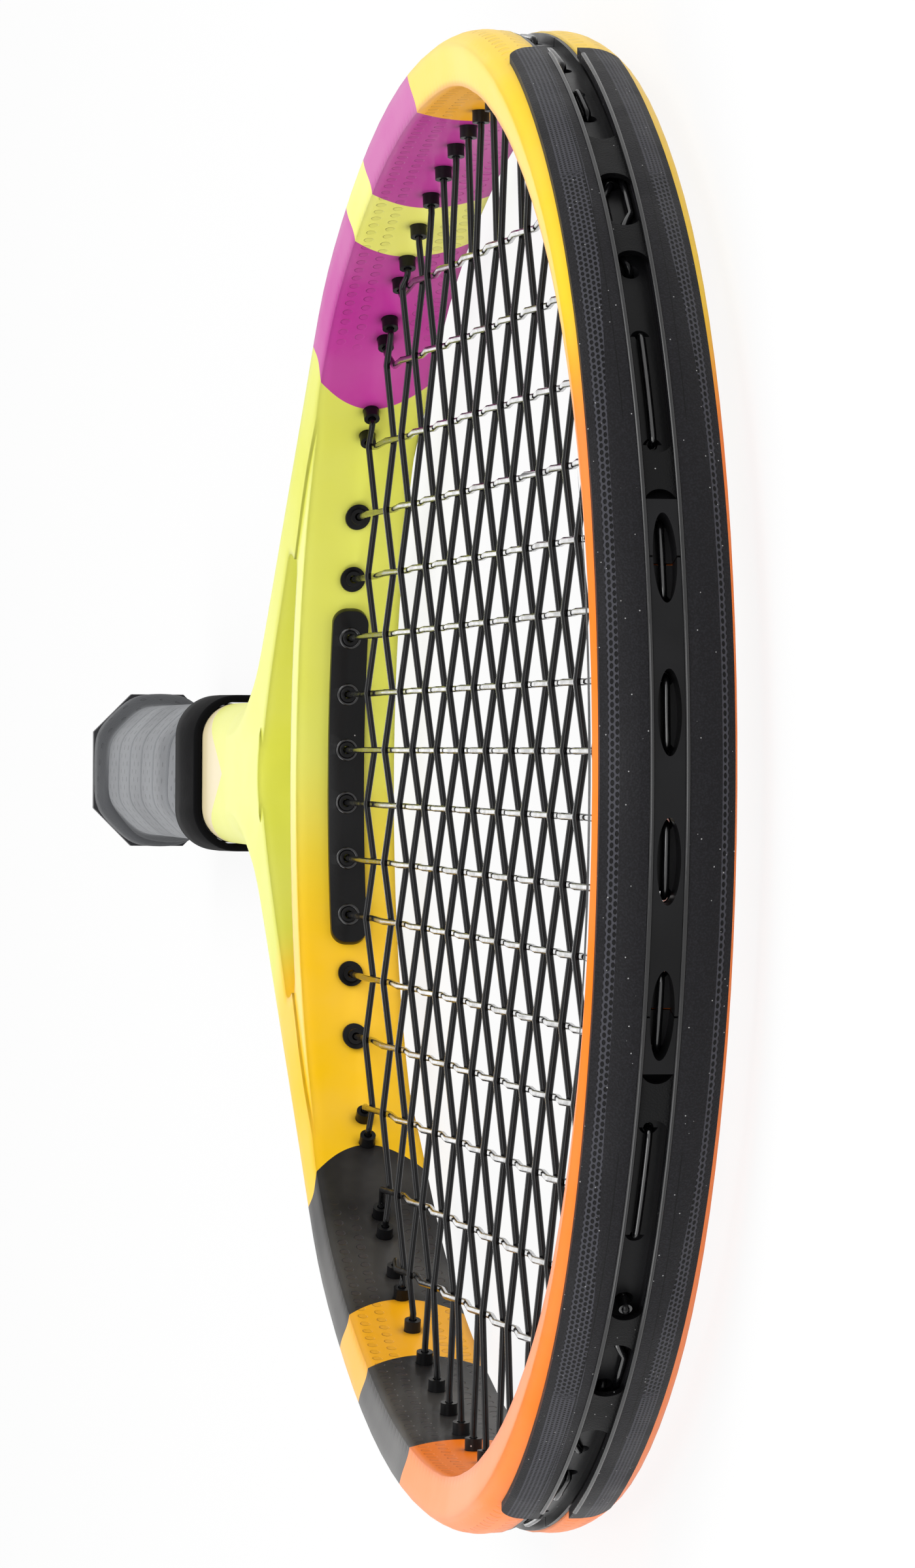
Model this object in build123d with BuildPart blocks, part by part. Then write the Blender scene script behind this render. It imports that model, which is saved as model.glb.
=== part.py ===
"""A strung tennis racket, 27 inches long.

X runs from the butt (X = 0) to the tip, Y across the head, and Z is square to the strings.
The string plane and the handle's axis lie in Z = 0. All sizes are in millimetres.
"""
from build123d import *
from math import acos, asin, atan2, ceil, cos, degrees, dist, hypot, pi, radians, sin, tan
import os

os.makedirs("parts", exist_ok=True)

# ---------------------------------------------------------------- driving dimensions
# Plan of the frame, along the middle of its tube
LENGTH = 685.0              # butt to tip
HEAD_HALF_WIDTH = 124.6     # middle of the tube at the widest place
WIDEST_X = 530.0
TIP_RADIUS = 113.0
FLANK_RADIUS = 305.0        # below the widest place
SHOULDER_RADIUS = 110.0     # where the head turns into the arms
FLANK_TURN = 24.0           # degrees
ARM_SLOPE = 33.5            # degrees from the handle's axis
ARM_BLEND_RADIUS = 120.0    # where an arm bends into the shaft
ARM_END_Y = 10.9            # middle of each tube where the arms meet

# Section of the tube, out and in from its middle
TUBE_OUT = 4.8
TUBE_IN = 4.8
CUT_PAST = 1.0              # cutters run this far past what they cut
CREST_D = 2.3               # the head's highest line lies this far out from the tube's middle
ARM_CREST_D = -2.9          # and the shaft's this far in
FACE_HALF = 4.6             # flat of the outer face, each side of Z = 0
TIP_CREST_Z = 11.15
SIDE_CREST_Z = 12.35
ARM_CREST_Z = 11.0
BEVEL_DROP = 1.5            # fall of the inner bevel from the crest
FLANK_BULGE = 1.0           # how far a flank swells from the straight line to the crest
ARM_BULGE = 1.5
ARM_INNER = 18.0            # how far an arm's section reaches in, for the throat opening to trim
ARM_GROW_START = 46.0       # from here along the arm its section reaches further in
HOOP_STATION = 16.0         # between sections of the tube round the head
SHOULDER_STATION = 5.0      # degrees
ARM_STATION = 22.0
BLEND_STATION = 7.0         # degrees

# Throat
BRIDGE_X = 341.0            # the bridge's face towards the strings
BRIDGE_DEPTH = 9.0
BRIDGE_HALF_Z = 10.0
PLATE_SHARE = 0.75          # the bridge's plate reaches this far down the arms
CROTCH_X = 283.0            # where the arms' inner lines would cross
CROTCH_RADIUS = 9.0
THROAT_CORNER_RADIUS = 3.5

# Shaft and its core in the handle
SHAFT_WIDTH = 31.6
SHAFT_HEIGHT = 22.0
SHAFT_CORNER = 8.0
SHAFT_START_X = 186.5
SHAFT_END_X = 290.0
CORE_WIDTH = 24.0
CORE_HEIGHT = 16.5
CORE_CORNER = 5.5
CORE_START_X = 33.0

# Channel round the head, and the plastic in it
CHANNEL_DEPTH = 2.8
CHANNEL_HALF = 3.4
CHANNEL_OVERCUT = 4.2       # cutters reach this far past the tube's outer face
BRIDGE_CHANNEL_HALF_Y = 56.0
CHANNEL_RUN_OUT = 8.0       # past the last hole
STRIP_SHORT = 3.0           # strip's end to the channel's end
STRIP_HALF = 3.2            # half width of the grommet strips' base
STRIP_THICKNESS = 0.9
STRIP_RAIL = 0.7
RAIL_DROP = 0.3             # top of the rails below the tube's outer face
STRIP_GAP = 0.1
BARREL_RADIUS = 1.55
BARREL_BORE = 0.8
BARREL_REACH = 2.2          # past the tube's inner face
BARREL_GAP = 0.1
MOUTH_DEPTH = 0.9           # flare of each barrel's outer mouth
MOUTH_RADIUS = 1.5
MOUTH_LIP = 0.15
TIP_RIB_HALF = 2.4          # solid rib over the tip strip, with a recess over each loop
RECESS_HALF = 1.85
RECESS_MARGIN = 1.0         # past the two holes at each end
RECESS_SINK = 0.3
BUMPER_SLOT_HALF = 2.6      # slot between the front wing and the rear one
BUMPER_BLOCK = 5.6          # length of the blocks that part the slot's windows
BUMPER_BLOCK_TOP = 5.8      # their tops, from the middle of the tube
BUMPER_RIB_SPACE = 2.0      # tip strip's rib to the first block
BUMPER_MAIN_SPACE = 2.5     # first block to the fifth main
BUMPER_THICKNESS = 1.6
BUMPER_GAP = 0.1
BUMPER_END_X = 588.0
BUMPER_EDGE_TIP_Z = 10.45
BUMPER_EDGE_END_Z = 9.1
BUMPER_CORNER = 3.0
SHELL_PAST = 3.0            # degrees that the guard's shell runs on past its end, for the trim
TIP_STRIP_MAINS = 3         # mains each side that go through the tip strip
TIP_STRIP_Y = 33.8          # the tip strip ends here, between the third and fourth mains
RIB_MAINS = 4               # mains each side whose loops lie in the rib's recesses
RIB_END_Y = 42.5
SHOULDER_END_X = 566.0      # shoulder strip meets side strip
JOINT_GAP = 0.3

# Strings
STRING_RADIUS = 0.625
WEAVE = 0.76                # how far a string rises and falls where it crosses another
LOOP_STEP = 5.0             # longest chord of a string along a channel
SHARP_TURN = 22.0           # a larger turn is rounded
BEND_SHARE = 0.45           # most of a chord that a rounded corner takes
BEND_CHORDS = 4
STRING_SIDES = 8
STRING_BEND = 1.5
STRING_LIFT = 0.06          # string to strip
MAIN_Y = [5.35, 16.55, 27.9, 39.7, 52.0, 65.3, 79.8, 93.8]
CROSS_X = [641.5, 626.0, 609.5, 597.5, 585.5, 572.7, 559.6, 546.5, 533.3, 520.0,
           506.5, 492.8, 478.9, 464.7, 450.2, 435.3, 419.2, 400.0, 376.5]
# Holes that lie off their string's line, by its number, so that they clear the next
MAIN_TIP_SHIFT = {7: -2.0}
MAIN_LOW_SHIFT = {7: -1.5}
CROSS_SHIFT = {2: -2.5, 16: 2.5}
TIP_SLANTS = [0, 0, 0, 0, 0, 0.5, 0.75, 0.75]   # 0 is along the string, 1 square to the tube
PAD_MAINS = 3               # mains each side that go through the throat pad
BRIDGE_MAINS = 5            # mains each side that go through the bridge alone
KNOT_RADIUS = 1.05
KNOT_LENGTH = 2.2
KNOT_GAP = 0.03             # string to knot
KNOT_LIFT = 0.2             # knot to strip
KNOT_TAIL = 0.5             # string past its knot

# Throat pad
PAD_HALF_WIDTH = 34.0
PAD_HALF_Z = 3.6
PAD_THICKNESS = 1.8
PAD_BOSS = 0.7
PAD_CORNER = 3.0
GROMMET_FLANGE_RADIUS = 2.5
GROMMET_FLANGE = 0.8

# Handle
GRIP_WIDTH = 32.4
GRIP_HEIGHT = 28.4
GRIP_CORNER = 8.4           # leg of each bevel of the octagon
GRIP_TOP_WIDTH = 31.0       # the grip narrows towards the collar
GRIP_TOP_HEIGHT = 24.8
TAPER_START_X = 135.0
TAPER_END_X = 160.0
GRIP_THICKNESS = 1.5
GRIP_END_X = 176.0
GRIP_START_X = 3.2
FLARE_WIDTH = 38.6
FLARE_HEIGHT = 32.4
FLARE_START_X = 10.0
FLARE_END_X = 19.0
BOND_GAP = 0.05
PALLET_START_X = 8.0
PALLET_END_X = 178.0
NECK_WALL = 3.0
CAP_WALL = 1.3
CAP_END_THICKNESS = 2.4
CAP_LENGTH = 30.0
DOOR_WIDTH = 19.0
DOOR_HEIGHT = 14.5
DOOR_THICKNESS = 1.4
DOOR_LEG = 6.5
DOOR_LEG_WIDTH = 5.0
DOOR_LEG_THICKNESS = 1.2
DOOR_LEDGE = 2.0
DOOR_CORNER = 2.5
DOOR_NOTCH = 1.0
DOOR_GAP = 0.15
STAPLE_X = 23.0
STAPLE_WIDTH = 9.0
STAPLE_WIRE = 1.0
STAPLE_DEPTH = 4.0          # from the cap's skin to the staple's points
TAPE_THICKNESS = 0.3
TAPE_LENGTH = 12.0
COLLAR_START_X = 168.0
COLLAR_STEP_X = 179.0
COLLAR_END_X = 190.5
COLLAR_WALL = 1.6
COLLAR_GAP = 0.3
COLLAR_CORNER = 8.0         # of its bore over the tape


# ---------------------------------------------------------------- plan of the tube
def polar(centre, radius, angle):
    """A point at this radius and angle, in degrees, round a centre."""
    return (centre[0] + radius * cos(radians(angle)), centre[1] + radius * sin(radians(angle)))


TIP_X = LENGTH - BUMPER_THICKNESS - BUMPER_GAP - TUBE_OUT
TIP_CENTRE = (TIP_X - TIP_RADIUS, 0.0)
TIP_REACH = TIP_CENTRE[0] - WIDEST_X
SIDE_RADIUS = (TIP_REACH**2 + HEAD_HALF_WIDTH**2 - TIP_RADIUS**2) / (2 * (HEAD_HALF_WIDTH - TIP_RADIUS))
SIDE_CENTRE = (WIDEST_X, HEAD_HALF_WIDTH - SIDE_RADIUS)
TIP_TURN = degrees(atan2(-SIDE_CENTRE[1], TIP_REACH))
FLANK_CENTRE = (WIDEST_X, HEAD_HALF_WIDTH - FLANK_RADIUS)
FLANK_END = 90.0 + FLANK_TURN
SHOULDER_CENTRE = polar(FLANK_CENTRE, FLANK_RADIUS - SHOULDER_RADIUS, FLANK_END)
HOOP_END = 90.0 + ARM_SLOPE

# The half of the head at +Y, as arcs: centre, radius and the angle of its outward normal at both ends
HOOP = [
    (TIP_CENTRE, TIP_RADIUS, 0.0, TIP_TURN),
    (SIDE_CENTRE, SIDE_RADIUS, TIP_TURN, 90.0),
    (FLANK_CENTRE, FLANK_RADIUS, 90.0, FLANK_END),
    (SHOULDER_CENTRE, SHOULDER_RADIUS, FLANK_END, HOOP_END),
]


def hoop_point(angle, out=0.0):
    """A point of the head where its outward normal has this angle, this far out from the tube's middle."""
    for centre, radius, _, end in HOOP:
        if angle <= end:
            return polar(centre, radius + out, angle)
    return polar(SHOULDER_CENTRE, SHOULDER_RADIUS + out, HOOP_END)


ARM_START = hoop_point(HOOP_END)
ARM_RUN = (-cos(radians(ARM_SLOPE)), -sin(radians(ARM_SLOPE)))
ARM_NORMAL = (cos(radians(HOOP_END)), sin(radians(HOOP_END)))
BLEND_TANGENT = ARM_BLEND_RADIUS * tan(radians(ARM_SLOPE / 2))
ARM_LENGTH = (ARM_START[1] - ARM_END_Y) / sin(radians(ARM_SLOPE)) - BLEND_TANGENT


def arm_point(along, out=0.0):
    """A point of the straight arm, this far along it from the head."""
    return (
        ARM_START[0] + along * ARM_RUN[0] + out * ARM_NORMAL[0],
        ARM_START[1] + along * ARM_RUN[1] + out * ARM_NORMAL[1],
    )


def channel_point(place, out):
    """A point along the outside channel: an angle on the head, and past it millimetres along the arm."""
    if place <= HOOP_END:
        return hoop_point(place, out)
    return arm_point(place - HOOP_END, out)


def arm_offset(point):
    """How far a point lies out from the middle of the straight arm."""
    return (point[0] - ARM_START[0]) * ARM_NORMAL[0] + (point[1] - ARM_START[1]) * ARM_NORMAL[1]


def solve(measure, low, high):
    """Where a measure that changes sign once between low and high is nought."""
    sign = measure(low) > 0
    for _ in range(50):
        middle = (low + high) / 2
        if (measure(middle) > 0) == sign:
            low = middle
        else:
            high = middle
    return (low + high) / 2


def tip_angle_at_y(y, out):
    return solve(lambda angle: hoop_point(angle, out)[1] - y, 0.0, 90.0)


def low_angle_at_y(y, out):
    return solve(lambda angle: hoop_point(angle, out)[1] - y, 90.0, HOOP_END)


def hoop_place(point):
    """The angle of the head's outward normal at a point, and how far out the point lies."""
    for centre, radius, _, end in HOOP:
        angle = degrees(atan2(point[1] - centre[1], point[0] - centre[0]))
        if angle <= end:
            break
    return angle, dist(point, centre) - radius


def angle_at_x(x, out):
    return solve(lambda angle: hoop_point(angle, out)[0] - x, 0.0, HOOP_END)


# The bridge's inner face is an arc that touches both arms' inner faces
INNER_START = hoop_point(HOOP_END, -TUBE_IN)
BRIDGE_RADIUS = (
    (BRIDGE_X - INNER_START[0]) * -ARM_NORMAL[0] + INNER_START[1] * ARM_NORMAL[1]
) / (1 + ARM_NORMAL[0])
BRIDGE_CENTRE = (BRIDGE_X + BRIDGE_RADIUS, 0.0)
BRIDGE_TOUCH = polar(BRIDGE_CENTRE, BRIDGE_RADIUS, HOOP_END)
BRIDGE_FLOOR = BRIDGE_RADIUS + BRIDGE_DEPTH - CHANNEL_DEPTH

CHANNEL_FLOOR = TUBE_OUT - CHANNEL_DEPTH
STRIP_BASE = CHANNEL_FLOOR + STRIP_GAP
STRIP_TOP = STRIP_BASE + STRIP_THICKNESS
STRING_OUT = STRIP_TOP + STRING_LIFT + STRING_RADIUS
STRING_BRIDGE = BRIDGE_FLOOR + STRING_LIFT + STRING_RADIUS
CORNER_REACH = BARREL_REACH + 1.3       # past the inner face, where a string bends into its barrel
HOLE_RADIUS = BARREL_RADIUS + BARREL_GAP
HOLE_START = 2.0            # cutters start this far inside the head
LOFT_INNER = TUBE_IN + CUT_PAST     # the head's opening trims this side
SIDE_REACH = HEAD_HALF_WIDTH + TUBE_OUT + 2 * CUT_PAST + BUMPER_GAP + BUMPER_THICKNESS


# ---------------------------------------------------------------- string holes
class Hole:
    """A string hole at +Y: where its axis meets the tube's inner face, and its way outwards."""

    def __init__(self, point, angle, depth, place):
        self.point = point
        self.angle = angle
        self.depth = depth      # inner face to the string outside
        self.place = place      # where it comes out along the channel
        slant = 0.0 if place > HOOP_END else angle - place
        # Inner face to the strip's bed
        self.bed = depth - (STRING_RADIUS + STRING_LIFT) / cos(radians(slant))

    def plane(self, side):
        """A plane on the inner face that looks outwards, on the side +1 or -1 of the racket."""
        way = (cos(radians(self.angle)), side * sin(radians(self.angle)), 0)
        return Plane(origin=(self.point[0], side * self.point[1], 0), x_dir=(0, 0, 1), z_dir=way)

    def at(self, along, side):
        """A point this far outwards along the hole's axis."""
        x, y = polar(self.point, along, self.angle)
        return (x, side * y, 0.0)


def hoop_hole(angle):
    return Hole(hoop_point(angle, -TUBE_IN), angle, TUBE_IN + STRING_OUT, angle)


def slanted_hole(y, angle):
    """A hole near the tip at this angle, whose string bends at y inside the head."""
    point = hoop_point(tip_angle_at_y(y + CORNER_REACH * sin(radians(angle)), -TUBE_IN), -TUBE_IN)
    depth = solve(lambda along: hoop_place(polar(point, along, angle))[1] - STRING_OUT, 0.0, 4 * TUBE_IN)
    return Hole(point, angle, depth, hoop_place(polar(point, depth, angle))[0])


def tip_hole(index, y):
    """The middle mains run straight through the tube, and the others turn towards its normal."""
    square = tip_angle_at_y(y, -TUBE_IN - CORNER_REACH)
    return slanted_hole(y, square * TIP_SLANTS[index])


def corner_hole(angle):
    """A hole square to the bridge's face that runs on into the arm's channel."""
    point = polar(BRIDGE_CENTRE, BRIDGE_RADIUS, angle)
    facing = cos(radians(angle - HOOP_END))
    depth = (STRING_OUT - arm_offset(point)) / facing
    outside = polar(point, depth, angle)
    along = (outside[0] - ARM_START[0]) * ARM_RUN[0] + (outside[1] - ARM_START[1]) * ARM_RUN[1]
    return Hole(point, angle, depth, HOOP_END + along)


def bridge_hole(y):
    """A hole through the bridge, in line with its string."""
    face_x = BRIDGE_CENTRE[0] - (BRIDGE_RADIUS**2 - y**2) ** 0.5
    outside_x = BRIDGE_CENTRE[0] - (STRING_BRIDGE**2 - y**2) ** 0.5
    return Hole((face_x, y), 180.0, face_x - outside_x, 180.0 - degrees(asin(y / STRING_BRIDGE)))


def low_hole(index, y):
    if index < BRIDGE_MAINS:
        return bridge_hole(y)
    if y < BRIDGE_TOUCH[1]:
        return corner_hole(180.0 - degrees(asin(y / (BRIDGE_RADIUS - CORNER_REACH))))
    return hoop_hole(low_angle_at_y(y, -TUBE_IN - CORNER_REACH))


def cross_hole(x):
    if x < BRIDGE_TOUCH[0]:
        return corner_hole(180.0 - degrees(acos((BRIDGE_CENTRE[0] - x) / (BRIDGE_RADIUS - CORNER_REACH))))
    return hoop_hole(angle_at_x(x, -TUBE_IN - CORNER_REACH))


TIP_HOLES = [tip_hole(i, y + MAIN_TIP_SHIFT.get(i, 0.0)) for i, y in enumerate(MAIN_Y)]
LOW_HOLES = [low_hole(i, y + MAIN_LOW_SHIFT.get(i, 0.0)) for i, y in enumerate(MAIN_Y)]
CROSS_HOLES = [cross_hole(x + CROSS_SHIFT.get(j, 0.0)) for j, x in enumerate(CROSS_X)]
HOOP_HOLES = TIP_HOLES + LOW_HOLES[BRIDGE_MAINS:] + CROSS_HOLES
UP_ALIGN = (Align.CENTER, Align.CENTER, Align.MIN)
DOWN_ALIGN = (Align.CENTER, Align.CENTER, Align.MAX)
TIP_STRIP_END = tip_angle_at_y(TIP_STRIP_Y, STRING_OUT)
RIB_END = tip_angle_at_y(RIB_END_Y, STRING_OUT)
SIDES = {"left": 1, "right": -1}
BOTH = tuple(SIDES.values())


# ---------------------------------------------------------------- shared shapes
def keep(part, label):
    """Name a finished solid, write its file and print how it came out."""
    part.label = label
    export_step(part, "parts/" + label + ".step")
    state = "valid" if part.is_valid else "not valid"
    print(label, state, len(part.solids()), "solid", round(part.volume), "mm3")


def hoop_arcs(start, end, out):
    """The head's line at this offset, from one angle to another, as arcs of the line being built."""
    for centre, radius, low, high in HOOP:
        first = max(start, low)
        last = min(end, high)
        if last - first > 1e-6:
            CenterArc(centre, radius + out, first, last - first)


def band(start, end, inner, outer, arm=0.0):
    """A flat band along the head between two offsets, which may run on along the arm."""
    with BuildSketch(mode=Mode.PRIVATE) as flat:
        with BuildLine():
            hoop_arcs(start, end, inner)
            hoop_arcs(start, end, outer)
            Line(hoop_point(start, inner), hoop_point(start, outer))
            if arm:
                Line(arm_point(0, inner), arm_point(arm, inner))
                Line(arm_point(0, outer), arm_point(arm, outer))
                Line(arm_point(arm, inner), arm_point(arm, outer))
            else:
                Line(hoop_point(end, inner), hoop_point(end, outer))
        make_face()
    return flat.sketch


def octagon(x, width, height, corner):
    """The handle's section at a station along X."""
    half_y = width / 2
    half_z = height / 2
    with BuildSketch(Plane(origin=(x, 0, 0), x_dir=(0, 1, 0), z_dir=(1, 0, 0)), mode=Mode.PRIVATE) as section:
        with BuildLine():
            Polyline(
                (half_y - corner, half_z), (half_y, half_z - corner), (half_y, corner - half_z),
                (half_y - corner, -half_z), (corner - half_y, -half_z), (-half_y, corner - half_z),
                (-half_y, half_z - corner), (corner - half_y, half_z), close=True,
            )
        make_face()
    return section.sketch


def rounded(x, width, height, corner):
    """A rounded rectangle square to X."""
    with BuildSketch(Plane(origin=(x, 0, 0), x_dir=(0, 1, 0), z_dir=(1, 0, 0)), mode=Mode.PRIVATE) as section:
        RectangleRounded(width, height, corner)
    return section.sketch


def crest_z(x):
    """Half height of the tube at a station along the racket."""
    if x > WIDEST_X:
        share = (x - WIDEST_X) / (TIP_X - WIDEST_X)
        return SIDE_CREST_Z + (TIP_CREST_Z - SIDE_CREST_Z) * share**2
    share = min(1.0, max(0.0, (ARM_START[0] - x) / (ARM_START[0] - SHAFT_START_X)))
    return SIDE_CREST_Z + (ARM_CREST_Z - SIDE_CREST_Z) * share


def arm_share(x):
    """How far the tube has changed from the head's section to the shaft's."""
    return min(1.0, max(0.0, (ARM_START[0] - x) / (ARM_START[0] - SHAFT_END_X)))


def tube_section(point, angle, inner, grow=0.0):
    """The tube's section: a flat outer face, round flanks, a crest and a bevel to the inner side."""
    way = (cos(radians(angle)), sin(radians(angle)), 0)
    plane = Plane(origin=(point[0], point[1], 0), x_dir=way, z_dir=(way[1], -way[0], 0))
    out = TUBE_OUT + grow
    top = crest_z(point[0]) + grow
    share = arm_share(point[0])
    crest = CREST_D + (ARM_CREST_D - CREST_D) * share
    bulge = FLANK_BULGE + (ARM_BULGE - FLANK_BULGE) * share
    run = (crest - out, top - FACE_HALF)
    length = hypot(*run)
    middle = (
        (out + crest) / 2 + bulge * run[1] / length,
        (FACE_HALF + top) / 2 - bulge * run[0] / length,
    )
    with BuildSketch(plane, mode=Mode.PRIVATE) as section:
        with BuildLine():
            Line((out, -FACE_HALF), (out, FACE_HALF))
            ThreePointArc((out, FACE_HALF), middle, (crest, top))
            Line((crest, top), (-inner, top - BEVEL_DROP))
            Line((-inner, top - BEVEL_DROP), (-inner, BEVEL_DROP - top))
            Line((-inner, BEVEL_DROP - top), (crest, -top))
            ThreePointArc((crest, -top), (middle[0], -middle[1]), (out, -FACE_HALF))
        make_face()
    return section.sketch


def steps(start, end, most):
    """Even steps from start to end, none longer than most, with both ends."""
    count = max(1, ceil(abs(end - start) / most - 0.01))
    return [start + (end - start) * k / count for k in range(count + 1)]


def hoop_stations(end):
    """Angles round the head, closer together where it turns tighter."""
    angles = [0.0]
    for _, radius, low, high in HOOP:
        last = min(high, end)
        if last > low:
            angles += steps(low, last, degrees(HOOP_STATION / radius))[1:]
    return angles


def half_tube():
    """Sections of the tube from the tip, round the head and down the arm to the shaft."""
    sections = [tube_section(hoop_point(angle), angle, LOFT_INNER) for angle in hoop_stations(FLANK_END)]
    for angle in steps(FLANK_END, HOOP_END, SHOULDER_STATION)[1:]:
        sections.append(tube_section(hoop_point(angle), angle, LOFT_INNER))
    for along in steps(0.0, ARM_LENGTH, ARM_STATION)[1:]:
        grown = max(0.0, along - ARM_GROW_START) / (ARM_LENGTH - ARM_GROW_START)
        inner = LOFT_INNER + (ARM_INNER - LOFT_INNER) * grown
        sections.append(tube_section(arm_point(along), HOOP_END, inner))
    bend = arm_point(ARM_LENGTH, ARM_BLEND_RADIUS)
    for angle in steps(HOOP_END, 90.0, BLEND_STATION)[1:]:
        sections.append(tube_section(polar(bend, -ARM_BLEND_RADIUS, angle), angle, ARM_INNER))
    return sections


# ---------------------------------------------------------------- string routes
PASS_Z = STRIP_HALF - STRIP_RAIL - STRING_RADIUS - 0.02     # a loop that goes past another string's hole
MAIN_COUNT = len(MAIN_Y)
CROSS_COUNT = len(CROSS_X)


def outside(hole, side):
    return hole.at(hole.depth, side)


def bend(hole, side):
    return hole.at(-CORNER_REACH, side)


def crossed(i, j):
    """Whether main i and cross j meet inside the head."""
    tip_x = bend(TIP_HOLES[i], 1)[0] - STRING_RADIUS
    low_x = bend(LOW_HOLES[i], 1)[0] + STRING_RADIUS
    return low_x < CROSS_X[j] < tip_x and MAIN_Y[i] < bend(CROSS_HOLES[j], 1)[1] - STRING_RADIUS


def weave(i, side, j):
    """Height of the main string where it meets a cross: the cross has the opposite height."""
    order = MAIN_COUNT - i if side > 0 else MAIN_COUNT + 1 + i
    return -WEAVE if (order + j + 1) % 2 == 0 else WEAVE


def main_run(i, side):
    """A main string from its hole at the tip to its hole at the throat."""
    points = [outside(TIP_HOLES[i], side), bend(TIP_HOLES[i], side)]
    points += [(CROSS_X[j], side * MAIN_Y[i], weave(i, side, j)) for j in range(CROSS_COUNT) if crossed(i, j)]
    return points + [bend(LOW_HOLES[i], side), outside(LOW_HOLES[i], side)]


def cross_run(j):
    """A cross string from its hole at -Y to its hole at +Y."""
    meets = [(i, side) for side in (-1, 1) for i in range(MAIN_COUNT) if crossed(i, j)]
    meets.sort(key=lambda meet: meet[1] * MAIN_Y[meet[0]])
    points = [outside(CROSS_HOLES[j], -1), bend(CROSS_HOLES[j], -1)]
    points += [(CROSS_X[j], side * MAIN_Y[i], -weave(i, side, j)) for i, side in meets]
    return points + [bend(CROSS_HOLES[j], 1), outside(CROSS_HOLES[j], 1)]


def loop_shares(length):
    count = max(2, ceil(length / LOOP_STEP))
    return [k / count for k in range(1, count)]


def channel_loop(first, last, side, height=0.0):
    """The string between two holes along the outside channel, swung aside where it passes a hole."""
    points = []
    length = dist(outside(first, 1), outside(last, 1))
    for share in loop_shares(length):
        x, y = channel_point(first.place + share * (last.place - first.place), STRING_OUT)
        points.append((x, side * y, height * min(1.0, sin(pi * share) / sin(pi / 6))))
    return points


def bridge_loop(first_angle, last_angle):
    """The string between two holes along the channel behind the bridge."""
    length = STRING_BRIDGE * abs(radians(last_angle - first_angle))
    points = []
    for share in loop_shares(length):
        x, y = polar(BRIDGE_CENTRE, STRING_BRIDGE, first_angle + share * (last_angle - first_angle))
        points.append((x, y, 0.0))
    return points


def passes(first, last, others):
    """Whether another string's hole lies between two holes of the channel."""
    low, high = sorted((first.place, last.place))
    return any(low < hole.place < high for hole in others)


def half_mains(side):
    """The mains of one side as one path, from the outermost throat hole to the innermost."""
    points = []
    for i in reversed(range(MAIN_COUNT)):
        run = main_run(i, side)
        upwards = i % 2 == 1
        if upwards:
            run.reverse()
        points += run
        if upwards:
            height = -PASS_Z if passes(TIP_HOLES[i], TIP_HOLES[i - 1], CROSS_HOLES) else 0.0
            points += channel_loop(TIP_HOLES[i], TIP_HOLES[i - 1], side, height)
        elif i >= BRIDGE_MAINS:
            height = -PASS_Z if passes(LOW_HOLES[i], LOW_HOLES[i - 1], CROSS_HOLES) else 0.0
            points += channel_loop(LOW_HOLES[i], LOW_HOLES[i - 1], side, height)
        elif i > 0:
            loop = bridge_loop(LOW_HOLES[i].place, LOW_HOLES[i - 1].place)
            points += [(x, side * y, z) for x, y, z in loop]
    return points


def cross_path():
    points = []
    for j in range(CROSS_COUNT):
        run = cross_run(j)
        side = 1
        if j % 2 == 1:
            run.reverse()
            side = -1
        points += run
        if j + 1 < CROSS_COUNT:
            mains = TIP_HOLES + LOW_HOLES[BRIDGE_MAINS:]
            height = PASS_Z if passes(CROSS_HOLES[j], CROSS_HOLES[j + 1], mains) else 0.0
            points += channel_loop(CROSS_HOLES[j], CROSS_HOLES[j + 1], side, height)
    return points


def softened(points):
    """The path with each sharp corner turned into short chords round an arc."""
    path = [Vector(*points[0])]
    for before, corner, after in zip(points, points[1:], points[2:]):
        corner = Vector(*corner)
        back = Vector(*before) - corner
        ahead = Vector(*after) - corner
        turn = 180.0 - back.get_angle(ahead)
        if turn < SHARP_TURN:
            path.append(corner)
            continue
        cut = min(STRING_BEND * tan(radians(turn / 2)), BEND_SHARE * min(back.length, ahead.length))
        start = corner + back.normalized() * cut
        end = corner + ahead.normalized() * cut
        for k in range(BEND_CHORDS + 1):
            share = k / BEND_CHORDS
            path.append(start * (1 - share) ** 2 + corner * (2 * share * (1 - share)) + end * share**2)
    path.append(Vector(*points[-1]))
    return path


def tail(hole, side):
    """The string's end, past the knot that holds it outside its hole."""
    return hole.at(hole.bed + KNOT_LENGTH + KNOT_TAIL, side)


def knotted(points, first, last):
    """A path whose two ends run on through their knots."""
    return [tail(*first)] + points[1:-1] + [tail(*last)]


MAIN_END = LOW_HOLES[-1]
left_mains = half_mains(1)
right_mains = half_mains(-1)
right_mains.reverse()
throat_loop = bridge_loop(LOW_HOLES[0].place, 360.0 - LOW_HOLES[0].place)
MAIN_PATH = softened(knotted(left_mains + throat_loop + right_mains, (MAIN_END, 1), (MAIN_END, -1)))
CROSS_PATH = softened(knotted(cross_path(), (CROSS_HOLES[0], -1), (CROSS_HOLES[-1], 1)))


# ---------------------------------------------------------------- frame
with BuildSketch() as head_opening:
    with BuildLine():
        hoop_arcs(0.0, HOOP_END, -TUBE_IN)
        Line(INNER_START, BRIDGE_TOUCH)
        CenterArc(BRIDGE_CENTRE, BRIDGE_RADIUS, HOOP_END, 180.0 - HOOP_END)
        Line((BRIDGE_X, 0), hoop_point(0.0, -TUBE_IN))
    make_face()
    mirror(about=Plane.XZ)

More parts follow.
